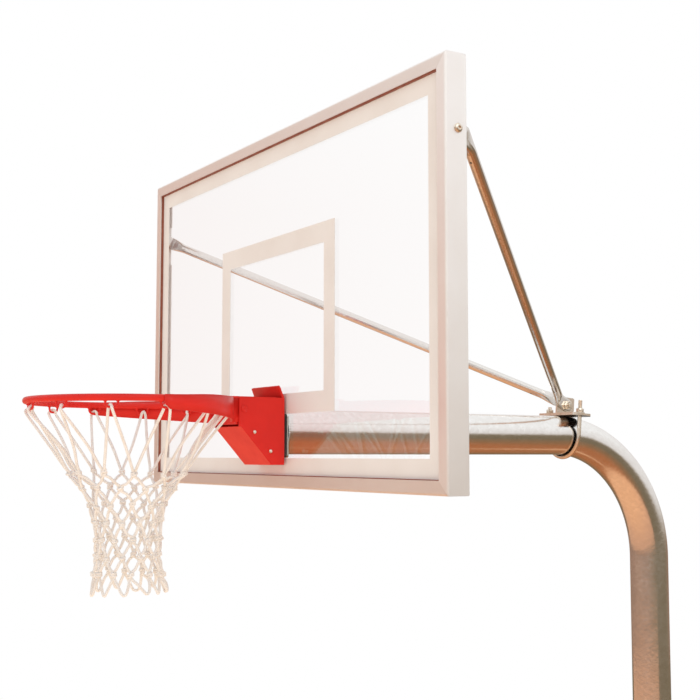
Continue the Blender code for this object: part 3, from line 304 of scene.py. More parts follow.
@dataclass(frozen=True)
class SatinAluminium(Finish):
    """Anodised aluminium extrusion: pale satin metal with faint lines along its length."""

    cloud: tuple = (9.0, 4.0, 0.6)
    tint: str = "#F1ECE8"
    tint_most: float = 0.55
    gloss: tuple = (0.34, 0.46)
    bumps: tuple = (30.0, 3.0)
    relief: tuple = (0.12, 0.0001)
    metal: float = 0.85
    grain: Grain = Grain.ALONG_X

    def inputs(self, tree: Tree, place: Socket) -> dict:
        """Lines along the extrusion change its gloss a little and give it relief.

        Args:
            tree: the material's node tree.
            place: the object's coordinates.

        Returns:
            What goes into each input of the shader.
        """
        stretched = add_node(tree, "Mapping", {"Vector": place, "Scale": self.grain.value}).outputs["Vector"]
        lines = noise(tree, stretched, *self.bumps)
        return {"Base Color": self.tinted(tree, noise(tree, place, *self.cloud)), "Metallic": self.metal,
                "Roughness": spread(tree, lines, NOISE_SPAN, self.gloss),
                "Normal": relief(tree, lines, *self.relief)}


@dataclass(frozen=True)
class ZincPlate(Finish):
    """Bright zinc plating: light metal whose warm chromate tint comes and goes."""

    cloud: tuple = (90.0, 3.0)
    tint: str = "#DCCDB6"
    tint_span: tuple = (0.35, 0.7)
    tint_most: float = 0.8
    gloss: tuple = (0.24, 0.38)
    metal: float = 1.0


@dataclass(frozen=True)
class PaintedShadePlate(ZincPlate):
    """Zinc plated steel with near black shade painted on its underside, where it lies over the pipe."""

    # colour of the painted shade
    painted_shade: str = "#171310"
    shade_top: tuple = (0.0012, 0.0018)  # metres over the crest of the pipe between which the painted shade ends
    back: tuple = (-0.016, -0.004)  # metres along the pipe between which it begins

    def shade_share(self, tree: Tree, place: Socket) -> Socket:
        """Share of painted shade: all that lies lower than the shade's top edge, a little over the crest of
        the pipe, in the plate's own tilted place.

        Args:
            tree: the material's node tree.
            place: the object's coordinates.

        Returns:
            The share's socket.
        """
        turned_by = (-radians(CLAMP_TILT), 0.0, 0.0)
        own = add_node(tree, "Mapping", {"Vector": place, "Location": tuple(clamp_place().translation),
                                         "Rotation": turned_by}, vector_type="TEXTURE").outputs["Vector"]
        axes = split(tree, own)
        low = spread(tree, axes["Z"], self.shade_top, (1, 0))
        return maths(tree, "MULTIPLY", low, spread(tree, axes["Y"], self.back))

    def inputs(self, tree: Tree, place: Socket) -> dict:
        """Painted shade, near black, covers the plating.

        Args:
            tree: the material's node tree.
            place: the object's coordinates.

        Returns:
            What goes into each input of the shader.
        """
        inputs = super().inputs(tree, place)
        # painted shade: the zinc goes near black where it lies over the pipe
        inputs["Base Color"] = blend(tree, self.shade_share(tree, place), inputs["Base Color"], self.painted_shade)
        return inputs


@dataclass(frozen=True)
class PaintedShadeRod(PaintedShadePlate):
    """Zinc plated rod with near black shade painted along the line where it lies on the pipe."""

    seat: float = 0.25  # place round the rod, in turns, of the line that touches the pipe
    begins: tuple = (0.032, 0.036)  # metres along the rod, under the plate
    ends: tuple = (0.341, 0.345)
    near: tuple = (0.1, 0.4)  # cosines of the turn away from the seat

    def shade_share(self, tree: Tree, place: Socket) -> Socket:
        """Share of painted shade: it lies within a quarter turn of the seat.

        Args:
            tree: the material's node tree.
            place: the object's coordinates, which it leaves for the UV map's.

        Returns:
            The share's socket.
        """
        axes = split(tree, coordinates(tree, "UV"))
        turn = maths(tree, "MULTIPLY", maths(tree, "ADD", axes["X"], -self.seat), tau)
        begun, ended = spread(tree, axes["Y"], self.begins), spread(tree, axes["Y"], self.ends, (1, 0))
        near = spread(tree, maths(tree, "COSINE", turn), self.near)
        # painted shade along the seat, on the stretch of rod under the plate
        return maths(tree, "MULTIPLY", near, maths(tree, "MULTIPLY", begun, ended))


@dataclass(frozen=True)
class Rubber(Finish):
    """Extruded rubber or soft vinyl: matt, with dust in soft patches."""

    cloud: tuple = (40.0, 5.0)
    tint: str = "#4A3A33"
    tint_span: tuple = (0.45, 0.8)
    tint_most: float = 0.8
    gloss: float = 0.62
    bumps: tuple = (40.0, 5.0)
    relief: tuple = (0.2, 0.0003)


@dataclass(frozen=True)
class BraidedNylon(Finish):
    """Braided nylon cord: off-white strands crossing on the slant, matt with a soft sheen, and shade painted
    between them.
    """

    cloud: tuple = (22.0, 5.0, 0.65)
    # colour both of the painted shade between strands and of the dirt
    tint: str = "#E4D8CA"
    tint_span: tuple = (0.48, 0.72)
    tint_most: float = 0.75
    between: tuple = (-0.2, 0.6)  # heights of the braid over which the painted shade between strands ends
    crease_shade_most: float = 0.55
    strands: float = 6.0  # seen round the cord
    pitch: float = 0.006  # metres along the cord for one strand's turn, drawn coarse so that it shows
    relief: tuple = (0.7, 0.0006)

    def inputs(self, tree: Tree, place: Socket) -> dict:
        """Two slanted waves on the cord's own UV map, across each other, make the braid, and shade is painted
        where it is low.

        Args:
            tree: the material's node tree.
            place: the object's coordinates.

        Returns:
            What goes into each input of the shader.
        """
        axes = split(tree, coordinates(tree, "UV"))
        turn = maths(tree, "MULTIPLY", axes["X"], pi * self.strands)
        run = maths(tree, "MULTIPLY", axes["Y"], tau / self.pitch)
        waves = [maths(tree, "SINE", maths(tree, slant, run, turn)) for slant in ("ADD", "SUBTRACT")]
        braid = maths(tree, "MAXIMUM", *waves)
        # painted shade: darker where the braid is low, between the strands
        low = spread(tree, braid, self.between, (self.crease_shade_most, 0.0))
        dirt = spread(tree, noise(tree, place, *self.cloud), self.tint_span, (0.0, self.tint_most))
        return {"Base Color": blend(tree, maths(tree, "MAXIMUM", low, dirt), self.colour, self.tint),
                "Roughness": self.gloss, "Normal": relief(tree, braid, *self.relief), **dict(self.more)}


TUBE = GalvanisedTube("galvanised steel tube", "galvanised_steel", "#F4F3F1")
BRACE_TUBE = GalvanisedTube("galvanised brace tube", "galvanised_steel", "#E6E3DF", gloss=(0.14, 0.19))
RAIL = SatinAluminium("anodised aluminium rail", "frame_metal", "#F7F4F2")
UPRIGHT = SatinAluminium("anodised aluminium upright", "frame_metal", "#F8F6F4", grain=Grain.ALONG_Z)
# The upright's anodised aluminium again, painted whiter for the near upright whose side faces the light:
# painted light
LIT_UPRIGHT = SatinAluminium("lit anodised aluminium upright", "frame_metal", WHITE, tint="#F8F5F3", metal=0.8,
                              grain=Grain.ALONG_Z)
ZINC = ZincPlate("zinc plated hardware", "zinc_hardware", "#EDE6DB")
# Saddle and U-bolt rod: zinc with near black shade painted where they lie on the pipe
SADDLE = PaintedShadePlate("zinc plated saddle", "zinc_hardware", "#EDE0D4")
ROD = PaintedShadeRod("zinc plated u-bolt rod", "zinc_hardware", "#EFE6DA")
RUBBER = Rubber("black rubber", "rubber", "#1E1714")
GLAZING = Rubber("brown vinyl glazing strip", "rubber", "#8A4A38", tint="#A5644E")
CORD = BraidedNylon("braided nylon cord", "net_cord", "#F8F6F2", gloss=0.78,
                    more=(("Sheen Weight", 0.25), ("Sheen Roughness", 0.5)))
# Baked powder coat: orange-red with patches of a deeper red, a soft gloss and slight orange peel
RED = Finish("red powder coat", "red_paint", "#E12A22", cloud=(16.0, 5.0, 0.6), tint="#CE2620",
             tint_span=(0.42, 0.8), gloss=(0.30, 0.42), bumps=(520.0, 1.0), relief=(0.25, 0.0002),
             specular=0.25)
# Ceramic paint fired on the glass: matt ivory, thinner in places
LINES = Finish("ivory line paint", "line_paint", "#EFECE8", cloud=(7.0, 4.0), tint="#E6E0DA",
               tint_span=(0.4, 0.75), bumps=(900.0,), specular=0.3)
# Tempered float glass with the faint ripple of the furnace rollers
GLASS = Finish("clear tempered glass", "clear_glass", WHITE, gloss=0.0, bumps=(3.0, 0.0),
               relief=(0.1, 0.0005), specular=0.25, more=(("Transmission Weight", 1.0), ("IOR", 1.52)))
# Injection-moulded nylon, milky white with a faint bloom
BUSH = Finish("moulded nylon bush", "bush_plastic", "#E6E4DC", cloud=(120.0,), gloss=(0.38, 0.52),
              more=(("Subsurface Weight", 0.1),))
# Oil-tempered wire, glossier where its film of oil lies
SPRING = Finish("oil tempered spring wire", "spring_steel", "#5B5A58", cloud=(160.0, 3.0), gloss=(0.22, 0.45),
                metal=1.0)


# Surfaces
def put(name: str, data: bpy.types.ID) -> Object:
    """Link a new object that shows some data.

    Args:
        name: the object's name.
        data: what it shows.

    Returns:
        The linked object.
    """
    piece = bpy.data.objects.new(name, data)
    bpy.context.scene.collection.objects.link(piece)
    return piece


def put_mesh(name: str, mesh: Mesh, finish: Finish, sharp: float) -> Object:
    """Make a mesh an object with smooth faces and sharp edges over an angle.

    Args:
        name: the piece's name.
        mesh: its mesh.
        finish: its finish.
        sharp: angle in degrees over which an edge stays sharp.

    Returns:
        The linked object.
    """
    mesh.shade_smooth()
    mesh.set_sharp_from_angle(angle=radians(sharp))
    mesh.materials.clear()
    mesh.materials.append(finish.material())
    return put(name, mesh)


@dataclass
class Surface:
    """Mesh data held as arrays: points, the corners of all faces in a row, and their UVs."""

    points: Array
    corners: Array
    sizes: Array
    uv: Array

    def moved(self, matrix: Matrix) -> "Surface":
        """Return the surface moved by a matrix."""
        turn = np.array(matrix)
        return Surface(self.points @ turn[:3, :3].T + turn[:3, 3], self.corners, self.sizes, self.uv)

    @staticmethod
    def joined(parts: list["Surface"]) -> "Surface":
        """Put several surfaces into one, without welding them.

        Args:
            parts: the surfaces.

        Returns:
            One surface.
        """
        starts = np.cumsum([0] + [len(part.points) for part in parts[:-1]])
        rows = [(part.points, part.corners + start, part.sizes, part.uv)
                for part, start in zip(parts, starts)]
        return Surface(*map(np.concatenate, zip(*rows)))

    def to_object(self, name: str, finish: Finish, sharp: float = 40.0) -> Object:
        """Make the surface an object, as put_mesh does.

        Args:
            name: the piece's name.
            finish: its finish.
            sharp: angle in degrees over which an edge stays sharp.

        Returns:
            The linked object.
        """
        mesh = bpy.data.meshes.new(name)
        mesh.vertices.add(len(self.points))
        mesh.vertices.foreach_set("co", self.points.astype(np.float32).ravel())
        mesh.loops.add(len(self.corners))
        mesh.loops.foreach_set("vertex_index", self.corners.astype(np.int32))
        mesh.polygons.add(len(self.sizes))
        starts = np.concatenate(([0], np.cumsum(self.sizes)[:-1]))
        mesh.polygons.foreach_set("loop_start", starts.astype(np.int32))
        mesh.update(calc_edges=True)
        layer = mesh.uv_layers.new(name="surface")
        layer.uv.foreach_set("vector", self.uv.astype(np.float32).ravel())
        mesh.validate()
        piece = put_mesh(name, mesh, finish, sharp)
        return piece


def unit(vectors: Array) -> Array:
    """Scale vectors to a length of one."""
    return vectors / np.linalg.norm(vectors, axis=-1, keepdims=True)


def circle(count: int) -> Array:
    """Angles of even steps round a circle."""
    return tau * np.arange(count) / count


def about_z(radius: float | Array, angle: Array, height: float | Array = 0.0) -> Array:
    """Points (r cos a, r sin a, z)."""
    return np.stack(np.broadcast_arrays(radius * np.cos(angle), radius * np.sin(angle), height), -1)


def spokes(normal: Array, other: Array, sides: int) -> Array:
    """Unit vectors cos a * n + sin a * b round a section at each point of each path."""
    angle = circle(sides)[:, None]
    return normal[:, :, None] * np.cos(angle) + other[:, :, None] * np.sin(angle)


def runs(paths: Array) -> Array:
    """Length run along each path at each of its points."""
    steps = np.linalg.norm(np.diff(paths, axis=1), axis=-1)
    return np.concatenate([np.zeros((len(paths), 1)), np.cumsum(steps, 1)], 1)


def sheets(points: Array, lengths: Array, closed: bool = False, capped: bool = False) -> Surface:
    """Join rings of points into tubes, several at once.

    Each tube's rings follow one another, and each ring closes on itself. The U of
    the UV map goes once round a ring, and the V is the run along the tube.

    Args:
        points: tubes, rings, points of a ring, and 3 coordinates.
        lengths: tubes and rings: the run along the tube at each ring.
        closed: whether the last ring joins the first.
        capped: whether a flat face closes each end.

    Returns:
        One surface of all the tubes.
    """
    count, rings, sides = points.shape[:3]
    index = np.arange(count * rings * sides).reshape(count, rings, sides)
    if closed:
        here, ahead = index, np.roll(index, -1, 1)
        last = 2 * lengths[:, -1:] - lengths[:, -2:-1]
        run_here, run_ahead = lengths, np.concatenate([lengths[:, 1:], last], 1)
    else:
        here, ahead = index[:, :-1], index[:, 1:]
        run_here, run_ahead = lengths[:, :-1], lengths[:, 1:]
    quads = np.stack([here, np.roll(here, -1, 2), np.roll(ahead, -1, 2), ahead], -1)
    turn = np.arange(sides + 1) / sides
    low, high = (np.broadcast_to(part, quads.shape[:3]) for part in (turn[:-1], turn[1:]))
    near, far = (np.broadcast_to(run[..., None], quads.shape[:3]) for run in (run_here, run_ahead))
    uv = np.stack([np.stack(pair, -1) for pair in ((low, near), (high, near), (high, far), (low, far))], -2)
    corners = [quads.reshape(-1)]
    sizes = [np.full(quads.size // 4, 4)]
    maps = [uv.reshape(-1, 2)]
    if capped:
        flat = about_z(CAP_MAP_RADIUS, circle(sides))[:, :2]
        for ring in (index[:, 0, ::-1], index[:, -1]):
            corners.append(ring.reshape(-1))
            sizes.append(np.full(count, sides))
            maps.append(np.tile(flat, (count, 1)))
    return Surface(points.reshape(-1, 3), *map(np.concatenate, (corners, sizes, maps)))


def tubes(paths: Array, across: Array, radius: float | Array, sides: int,
          closed: bool = False) -> Surface:
    """Sweep a round section along paths: point = path + radius (cos a * n + sin a * b).

    Here n is the part of the across vector square to the path, and b is square to
    both. The across vector is never along its path.

    Args:
        paths: tubes, points and 3 coordinates.
        across: one vector for each tube.
        radius: one radius, or one for each tube, path point and side.
        sides: points round the section.
        closed: whether each path joins its own start.

    Returns:
        The tubes as one surface, capped where they are open.
    """
    ahead = unit(np.roll(paths, -1, 1) - np.roll(paths, 1, 1) if closed else np.gradient(paths, axis=1))
    side = np.broadcast_to(across[:, None, :], paths.shape)
    normal = unit(side - (side * ahead).sum(-1, keepdims=True) * ahead)
    reach = radius[..., None] if isinstance(radius, Array) else radius
    points = paths[:, :, None] + spokes(normal, np.cross(ahead, normal), sides) * reach
    return sheets(points, runs(paths), closed, capped=not closed)


def smooth_paths(points: Array, steps: int) -> Array:
    """Catmull-Rom curves through rows of points.

    Between points 1 and 2 the curve is the cubic whose slope at each is half the
    line between that point's neighbours.

    Args:
        points: rows, points and 3 coordinates.
        steps: parts into which each stretch is cut.

    Returns:
        Rows of curve points, with the given ones among them.
    """
    first = 2 * points[:, :1] - points[:, 1:2]
    last = 2 * points[:, -1:] - points[:, -2:-1]
    longer = np.concatenate([first, points, last], 1)
    a, b, c, d = (longer[:, k:k + points.shape[1] - 1, None] for k in range(4))
    t = (np.arange(steps) / steps)[:, None]
    curve = 0.5 * (2 * b + (c - a) * t + (2 * a - 5 * b + 4 * c - d) * t ** 2
                   + (3 * b - a - 3 * c + d) * t ** 3)
    return np.concatenate([curve.reshape(len(points), -1, 3), points[:, -1:]], 1)


def turned(profile: Array, steps: int, outline: Array | None = None, closed: bool = True) -> Surface:
    """Turn a profile of radius and height about Z, or about a shaped outline.

    Where an outline is given, the radius is held under it at each angle, which
    turns a round profile into a hexagon with its corners taken off.

    Args:
        profile: points of radius and height, going up the outside.
        steps: points round.
        outline: greatest radius at each angle.
        closed: whether the profile joins its own start; an open one gets flat ends.

    Returns:
        A closed surface.
    """
    radius = np.broadcast_to(profile[:, :1], (len(profile), steps))
    if outline is not None:
        radius = np.minimum(radius, outline)
    points = about_z(radius, circle(steps), profile[:, 1:])[None]
    return sheets(points, runs(points[:, :, 0]), closed, capped=not closed)


def hexagon(across: float, steps: int) -> Array:
    """Radius of a hexagon at each angle: half its width over the cosine from the nearest flat."""
    from_flat = (circle(steps) + pi / 6) % (pi / 3) - pi / 6
    return across / 2 / np.cos(from_flat)


def hook_directions() -> tuple[Array, Array]:
    """Outward and sideways unit vectors at each hook."""
    out = about_z(1.0, circle(HOOK_COUNT))
    return out, sideways(out)


def sideways(out: Array) -> Array:
    """Level vectors, a quarter turn on from outward ones."""
    return np.stack([-out[:, 1], out[:, 0], 0 * out[:, 0]], -1)


# Pieces
@dataclass
class GooseneckPost:
    """The bent pipe, from the board's plate over the bend and down into the ground."""

    wall: float = 0.0048
    arm_start: float = -1.28955
    buried: float = 1.219
    sides: int = 96
    arm_steps: int = 24
    bend_steps: int = 72
    post_steps: int = 60
    bead: float = 0.0038
    bead_steps: int = 180
    bead_sides: int = 10
    bead_lift: float = 0.0015  # from the pipe's end to the bead's middle
    ripples: int = 60
    ripple: float = 0.10

    def centre_line(self) -> Array:
        """Path of the pipe: a straight arm, a quarter circle, and a straight post.

        Returns:
            The path's points.
        """
        arm = np.linspace(self.arm_start, -BEND_RADIUS, self.arm_steps, endpoint=False)
        angle = np.linspace(0, pi / 2, self.bend_steps)
        post = np.linspace(ARM_Z - BEND_RADIUS, -self.buried, self.post_steps)[1:]
        return np.concatenate([
            np.stack([0 * arm, arm, 0 * arm + ARM_Z], -1),
            np.stack([0 * angle, BEND_RADIUS * (np.sin(angle) - 1),
                      ARM_Z + BEND_RADIUS * (np.cos(angle) - 1)], -1),
            np.stack([0 * post, 0 * post, post], -1)])

    def pipe(self) -> Surface:
        """The pipe's outside and inside, joined by its end rings.

        Returns:
            The pipe.
        """
        path = self.centre_line()
        there_and_back = np.concatenate([path, path[::-1]])[None]
        ahead = np.gradient(path, axis=0)
        ahead = unit(np.concatenate([ahead, ahead[::-1]]))[None]
        normal = np.broadcast_to(np.array([1.0, 0, 0]), ahead.shape)
        outside = np.arange(there_and_back.shape[1]) < len(path)
        radius = np.where(outside, POST_RADIUS, POST_RADIUS - self.wall)[:, None, None]
        points = there_and_back[:, :, None] + spokes(normal, np.cross(ahead, normal), self.sides) * radius
        return sheets(points, runs(there_and_back), closed=True)

    def weld(self) -> Surface:
        """Bead of weld round the pipe where it meets the plate, with the ripples of its run.

        Returns:
            The bead.
        """
        angle = circle(self.bead_steps)
        path = np.stack([POST_RADIUS * np.cos(angle), 0 * angle + self.arm_start + self.bead_lift,
                         ARM_Z + POST_RADIUS * np.sin(angle)], -1)[None]
        radius = self.bead * (1 + self.ripple * np.sin(self.ripples * angle))
        radius = np.broadcast_to(radius[:, None], (1, self.bead_steps, self.bead_sides))
        return tubes(path, np.array([[0, 1.0, 0]]), radius, self.bead_sides, closed=True)

    def build(self) -> None:
        """Make the pipe and its weld."""
        pipe = self.pipe().to_object("gooseneck_pipe", TUBE)
        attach(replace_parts(pipe, "gooseneck_post"), STAND)
        weld = self.weld().to_object("arm_weld_bead", TUBE)
        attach(weld, STAND)


@dataclass
class Ring:
    """The rim's ring of round bar, with a wire loop welded under it for each corner of the net."""

    around: int = 240
    section: int = 28
    hook_width: float = 0.028
    hook_bend: float = 0.0098
    hook_sides: int = 12
    weld: float = 0.0042
    weld_form: tuple = (1.0, 1.2, 0.8)
    weld_out: float = 0.0008
    weld_low: float = 0.85  # shares of the bar's radius
    hook_high: float = 0.3

    def bar(self) -> Surface:
        """Torus: a circle of the bar's section carried round the ring's circle."""
        path = RING_CENTRE + about_z(RING_RADIUS, circle(self.around))
        return tubes(path[None], UP[None], ROD_RADIUS, self.section, closed=True)

    def hooks(self) -> Surface:
        """U-shaped wires: down from the bar, round two bends, and up again.

        Returns:
            The wires.
        """
        out, side = hook_directions()
        half, bend = self.hook_width / 2, self.hook_bend
        turn = np.linspace(0, pi / 2, 9)
        left = np.stack([-(half - bend + bend * np.cos(turn)), -(HOOK_DROP - bend + bend * np.sin(turn))], -1)
        top = np.array([[-half, -ROD_RADIUS * self.hook_high], [-half, -ROD_RADIUS]])
        shape = np.concatenate([top, left])
        shape = np.concatenate([shape, shape[::-1] * np.array([-1, 1])])
        centre = RING_CENTRE + out * HOOK_RADIUS
        paths = centre[:, None] + side[:, None] * shape[None, :, :1] + UP * shape[None, :, 1:]
        return tubes(paths, out, HOOK_WIRE / 2, self.hook_sides)

    def welds(self) -> Surface:
        """Dabs of weld where each leg of a hook meets the bar: squashed balls.

        Returns:
            The dabs.
        """
        out, side = hook_directions()
        lat = np.linspace(-pi / 2, pi / 2, 9)[1:-1]
        ball = about_z(np.cos(lat)[:, None], circle(12), np.sin(lat)[:, None])
        ball = ball * np.array(self.weld_form) * self.weld
        bar = RING_CENTRE + out * (HOOK_RADIUS + self.weld_out)
        centres = np.concatenate([bar + side * sign * self.hook_width / 2 - UP * ROD_RADIUS * self.weld_low
                                  for sign in (-1, 1)])
        axes = np.stack([np.tile(out, (2, 1)), np.tile(side, (2, 1)), np.broadcast_to(UP, centres.shape)], 1)
        points = centres[:, None, None] + np.einsum("rsk,mkc->mrsc", ball, axes)
        return sheets(points, np.broadcast_to(lat * self.weld, points.shape[:2]), capped=True)

    def build(self) -> None:
        """Make the ring with its hooks and welds as one piece."""
        ring = Surface.joined([self.bar(), self.hooks(), self.welds()]).to_object("rim_ring_bar", RED)
        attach(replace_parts(ring, "rim_ring"), RIM)


@dataclass
class Straps:
    """The rim's side straps, their edges broken and their tops running down to the ring's."""

    drop: float = 0.004
    slope: float = 32.0  # degrees round the ring, from the tip, over which the top comes down
    edge: float = 0.0008
    sharp: float = 40.0

    def lower_top(self, work: bmesh.types.BMesh) -> None:
        """Lower the top edge toward the tip, along a smooth step of the angle round the ring.

        Args:
            work: the strap's mesh, which is changed.
        """
        top = max(vertex.co.z for vertex in work.verts)
        for vertex in work.verts:
            if vertex.co.z < top - self.edge:
                continue
            angle = degrees(atan2(vertex.co.y - RING_CENTRE[1], abs(vertex.co.x)))
            share = min(max(1 - angle / self.slope, 0.0), 1.0)
            vertex.co.z -= self.drop * share * share * (3 - 2 * share)

    def build(self) -> None:
        """Make each strap from its node's form."""
        for side in ("left", "right"):
            name = f"rim_strap_{side}"
            work = bmesh.new()
            work.from_mesh(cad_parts[name].data)
            bmesh.ops.remove_doubles(work, verts=work.verts, dist=1e-5)
            self.lower_top(work)
            edges = [edge for edge in work.edges
                     if len(edge.link_faces) == 2 and edge.calc_face_angle() > radians(self.sharp)]
            bmesh.ops.bevel(work, geom=edges, offset=self.edge, segments=2, affect="EDGES")
            mesh = bpy.data.meshes.new(f"eased_strap_{side}")
            work.to_mesh(mesh)
            work.free()
            strap = put_mesh(f"eased_strap_{side}", mesh, RED, self.sharp)
            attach(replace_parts(strap, name), RIM)


@dataclass
class Net:
    """Net of braided cord: loops over the hooks, knots row by row, and open loops at the foot."""

    cord: float = 0.0068
    cord_sides: int = 10
    rows: tuple = ((0.168, 0.137), (0.204, 0.108), (0.242, 0.0885), (0.281, 0.079),
                   (0.322, 0.073), (0.363, 0.0745), (0.403, 0.080), (0.4505, 0.089))
    knot_radius: float = 0.0048
    knot_height: float = 0.0085
    knot_turns: float = 1.7
    knot_steps: int = 26
    knot_swell: float = 0.12
    knot_lean: float = 0.28
    knot_cord: float = 0.92  # drawn tight, as a share of the cord
    slack: float = 0.0045
    uneven: float = 0.0035
    stray: float = 0.008  # how far the foot's loops hang from their even places
    drift: tuple = (0.0042, 0.0068, 0.0)  # how far its foot hangs to one side
    behind_strap: tuple = (1, 5)  # hooks whose cord comes down inside, as a strap is in its way
    hook_slide: float = 0.004
    hook_under: tuple = (0.006, 0.007)  # beside and below a hook's wire
    hook_over: tuple = (0.0035, 0.0022)  # beside and above it
    sag: float = 0.006  # how far a leg sags towards the net's axis
    leg: tuple = ((0.12, 0.0, 0.3), (0.4, 1.0, 1.0), (0.72, 0.7, 0.6))  # shares of way, bow and sag
    seed: int = 11
    draw: np.random.Generator = field(init=False)

    def __post_init__(self) -> None:
        """Start the row of random draws."""
        self.draw = np.random.default_rng(self.seed)

    def places(self) -> list[Array]:
        """Each row's knots, a little off their even places as a hanging net's are.

        Returns:
            The rows, from the top one down.
        """
        rows = []
        for row, (drop, radius) in enumerate(self.rows):
            angle = tau * (np.arange(HOOK_COUNT) + 0.5 * ((row + 1) % 2)) / HOOK_COUNT
            angle = angle + self.draw.normal(0, self.uneven * 0.55, HOOK_COUNT) / radius
            reach = radius + self.draw.normal(0, self.uneven * 0.5, HOOK_COUNT).clip(-0.006, 0.006)
            height = -drop + self.draw.normal(0, self.uneven, HOOK_COUNT).clip(-0.008, 0.008)
            aside = np.array(self.drift) * (drop / self.rows[-1][0]) ** 2
            rows.append(RING_CENTRE + aside + about_z(reach, angle, height))
        return rows

    def outward(self, points: Array) -> Array:
        """Level unit vectors from the net's axis to points."""
        return unit((points - RING_CENTRE) * np.array([1.0, 1.0, 0]))

    def spin(self, points: Array, steps: int, across: Array) -> Surface:
        """Cords along smooth curves through rows of points."""
        return tubes(smooth_paths(points, steps), across, self.cord / 2, self.cord_sides)

    def hook_loops(self, first: Array) -> Surface:
        """Cords from a knot up through a hook, over its wire and down to the next knot.

        Args:
            first: the first row of knots.

        Returns:
            The cords.
        """
        out, side = hook_directions()
        each = (HOOK_COUNT, 1)
        hug = (HOOK_WIRE + self.cord) / 2 + 0.0003
        outer = np.where(np.isin(np.arange(HOOK_COUNT), self.behind_strap), -0.9, 1.0)[:, None]
        bar = RING_CENTRE + out * HOOK_RADIUS - UP * HOOK_DROP
        bar = bar + side * self.draw.uniform(-self.hook_slide, self.hook_slide, each)

        def leg(knot: Array, sign: float, reach: Array | float) -> list[Array]:
            """Points from a knot to just under the hook's wire, bowed a little.

            Args:
                knot: the knots.
                sign: -1 for the cord that goes up, 1 for the one that comes down.
                reach: side of the wire on which it passes, 1 for the outer.

            Returns:
                The points, from the knot upward.
            """
            beside, below = self.hook_under
            near = bar + side * sign * beside + out * hug * reach - UP * below
            bow = self.draw.normal(0, self.slack, each) * side
            dip = -out * self.sag * (1 + self.draw.uniform(-0.6, 0.6, each))
            way = [knot + (near - knot) * along + bow * bowed + dip * sagged
                   for along, bowed, sagged in self.leg]
            return [knot - side * sign * 0.0018 + UP * 0.004, *way, near]

        rise = leg(np.roll(first, 1, 0), -1, -1.0)
        fall = leg(first, 1, outer)
        beside, above = self.hook_over
        over = [bar - side * beside - out * hug * 0.85 + UP * above, bar + UP * hug,
                bar + side * beside + out * hug * 0.85 * outer + UP * above]
        return self.spin(np.stack(rise + over + fall[::-1], 1), 6, side)

    def mesh_cords(self, upper: Array, lower: Array, row: int) -> Surface:
        """Cords from each knot down to the two knots below it.

        Args:
            upper: a row of knots.
            lower: the row below it.
            row: number of the lower row.

        Returns:
            The cords.
        """
        parts = []
        for sign in (-1, 1):
            target = np.roll(lower, (row + 1) % 2 - (sign > 0), 0)
            out = self.outward((upper + target) / 2)
            side = sideways(out)
            line = target - upper
            bow = (self.draw.normal(0, self.slack * 0.45, (HOOK_COUNT, 1)) * side
                   + self.draw.normal(0.0012, self.slack * 0.35, (HOOK_COUNT, 1)) * out)
            points = [upper + side * sign * 0.0012 + UP * 0.003, upper + line * 0.08 - UP * 0.003,
                      upper + line * 0.35 + bow, upper + line * 0.68 + bow,
                      target - line * 0.06 + UP * 0.003, target - side * sign * 0.0012 - UP * 0.002]
            parts.append(self.spin(np.stack(points, 1), 4, out))
        return Surface.joined(parts)

    def foot_loops(self, knots: Array, tips: Array) -> Surface:
        """Loose loops that hang from the last knots, each round its own tip.

        Args:
            knots: the last row of knots.
            tips: the lowest points of the loops.

        Returns:
            The cords.
        """
        each = (HOOK_COUNT, 1)
        tips = np.roll(tips, -1, 0)
        out = self.outward(tips)
        after = np.roll(knots, -1, 0)
        width = np.linalg.norm(after - knots, axis=-1, keepdims=True)
        side = unit((after - knots) * np.array([1, 1, 0]))
        flare = out * self.draw.uniform(-0.002, 0.006, each)
        tips = tips + side * self.draw.uniform(-self.stray, self.stray, each)
        tips = tips - UP * self.draw.uniform(-self.stray, self.stray / 2, each)
        squeeze = self.draw.uniform(0.45, 1.1, each)

        def half(knot: Array, sign: float) -> list[Array]:
            """Points from a knot to beside the tip.

            Args:
                knot: the knots.
                sign: 1 before the tip, -1 after it.

            Returns:
                The points, from the knot downward.
            """
            inward = side * width * sign
            return [knot - UP * 0.001, knot - UP * 0.010 + inward * 0.06 + flare * 0.3,
                    (knot + tips) / 2 - inward * 0.10 * squeeze + flare,
                    tips - inward * 0.20 * squeeze + UP * 0.005 + flare]

        points = half(knots, 1) + [tips + flare] + half(after, -1)[::-1]
        return self.spin(np.stack(points, 1), 5, out)

    def knots(self, centres: Array) -> Surface:
        """Each knot's wraps: a short helix round the cords, tilted a little at random.

        Args:
            centres: the knots' middles.

        Returns:
            The wraps.
        """
        turn = np.linspace(0, tau * self.knot_turns, self.knot_steps)
        rise = np.linspace(-0.5, 0.5, self.knot_steps) * self.knot_height
        swell = self.knot_radius * (1 + self.knot_swell * np.sin(np.linspace(0, pi, self.knot_steps)))
        helix = about_z(swell, turn, rise)
        start = self.draw.uniform(0, tau, len(centres))
        lean = self.draw.normal(0, self.knot_lean, (len(centres), 2))
        c, s = np.cos(start)[:, None], np.sin(start)[:, None]
        x = helix[:, 0] * c - helix[:, 1] * s
        y = helix[:, 0] * s + helix[:, 1] * c
        z = helix[:, 2] + x * lean[:, :1] + y * lean[:, 1:]
        paths = centres[:, None] + np.stack([x, y, z], -1)
        return tubes(paths, np.broadcast_to(UP, centres.shape), self.cord / 2 * self.knot_cord, 8)

    def build(self) -> None:
        """Make the whole net as one piece."""
        rows = self.places()
        parts = [self.hook_loops(rows[0])]
        for row in range(len(rows) - 2):
            parts.append(self.mesh_cords(rows[row], rows[row + 1], row + 1))
        parts.append(self.foot_loops(rows[-2], rows[-1]))
        parts.append(self.knots(np.concatenate(rows[:-1])))
        net = Surface.joined(parts).to_object("knotted_net", CORD, 80)
        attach(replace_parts(net, "net"), RIM)


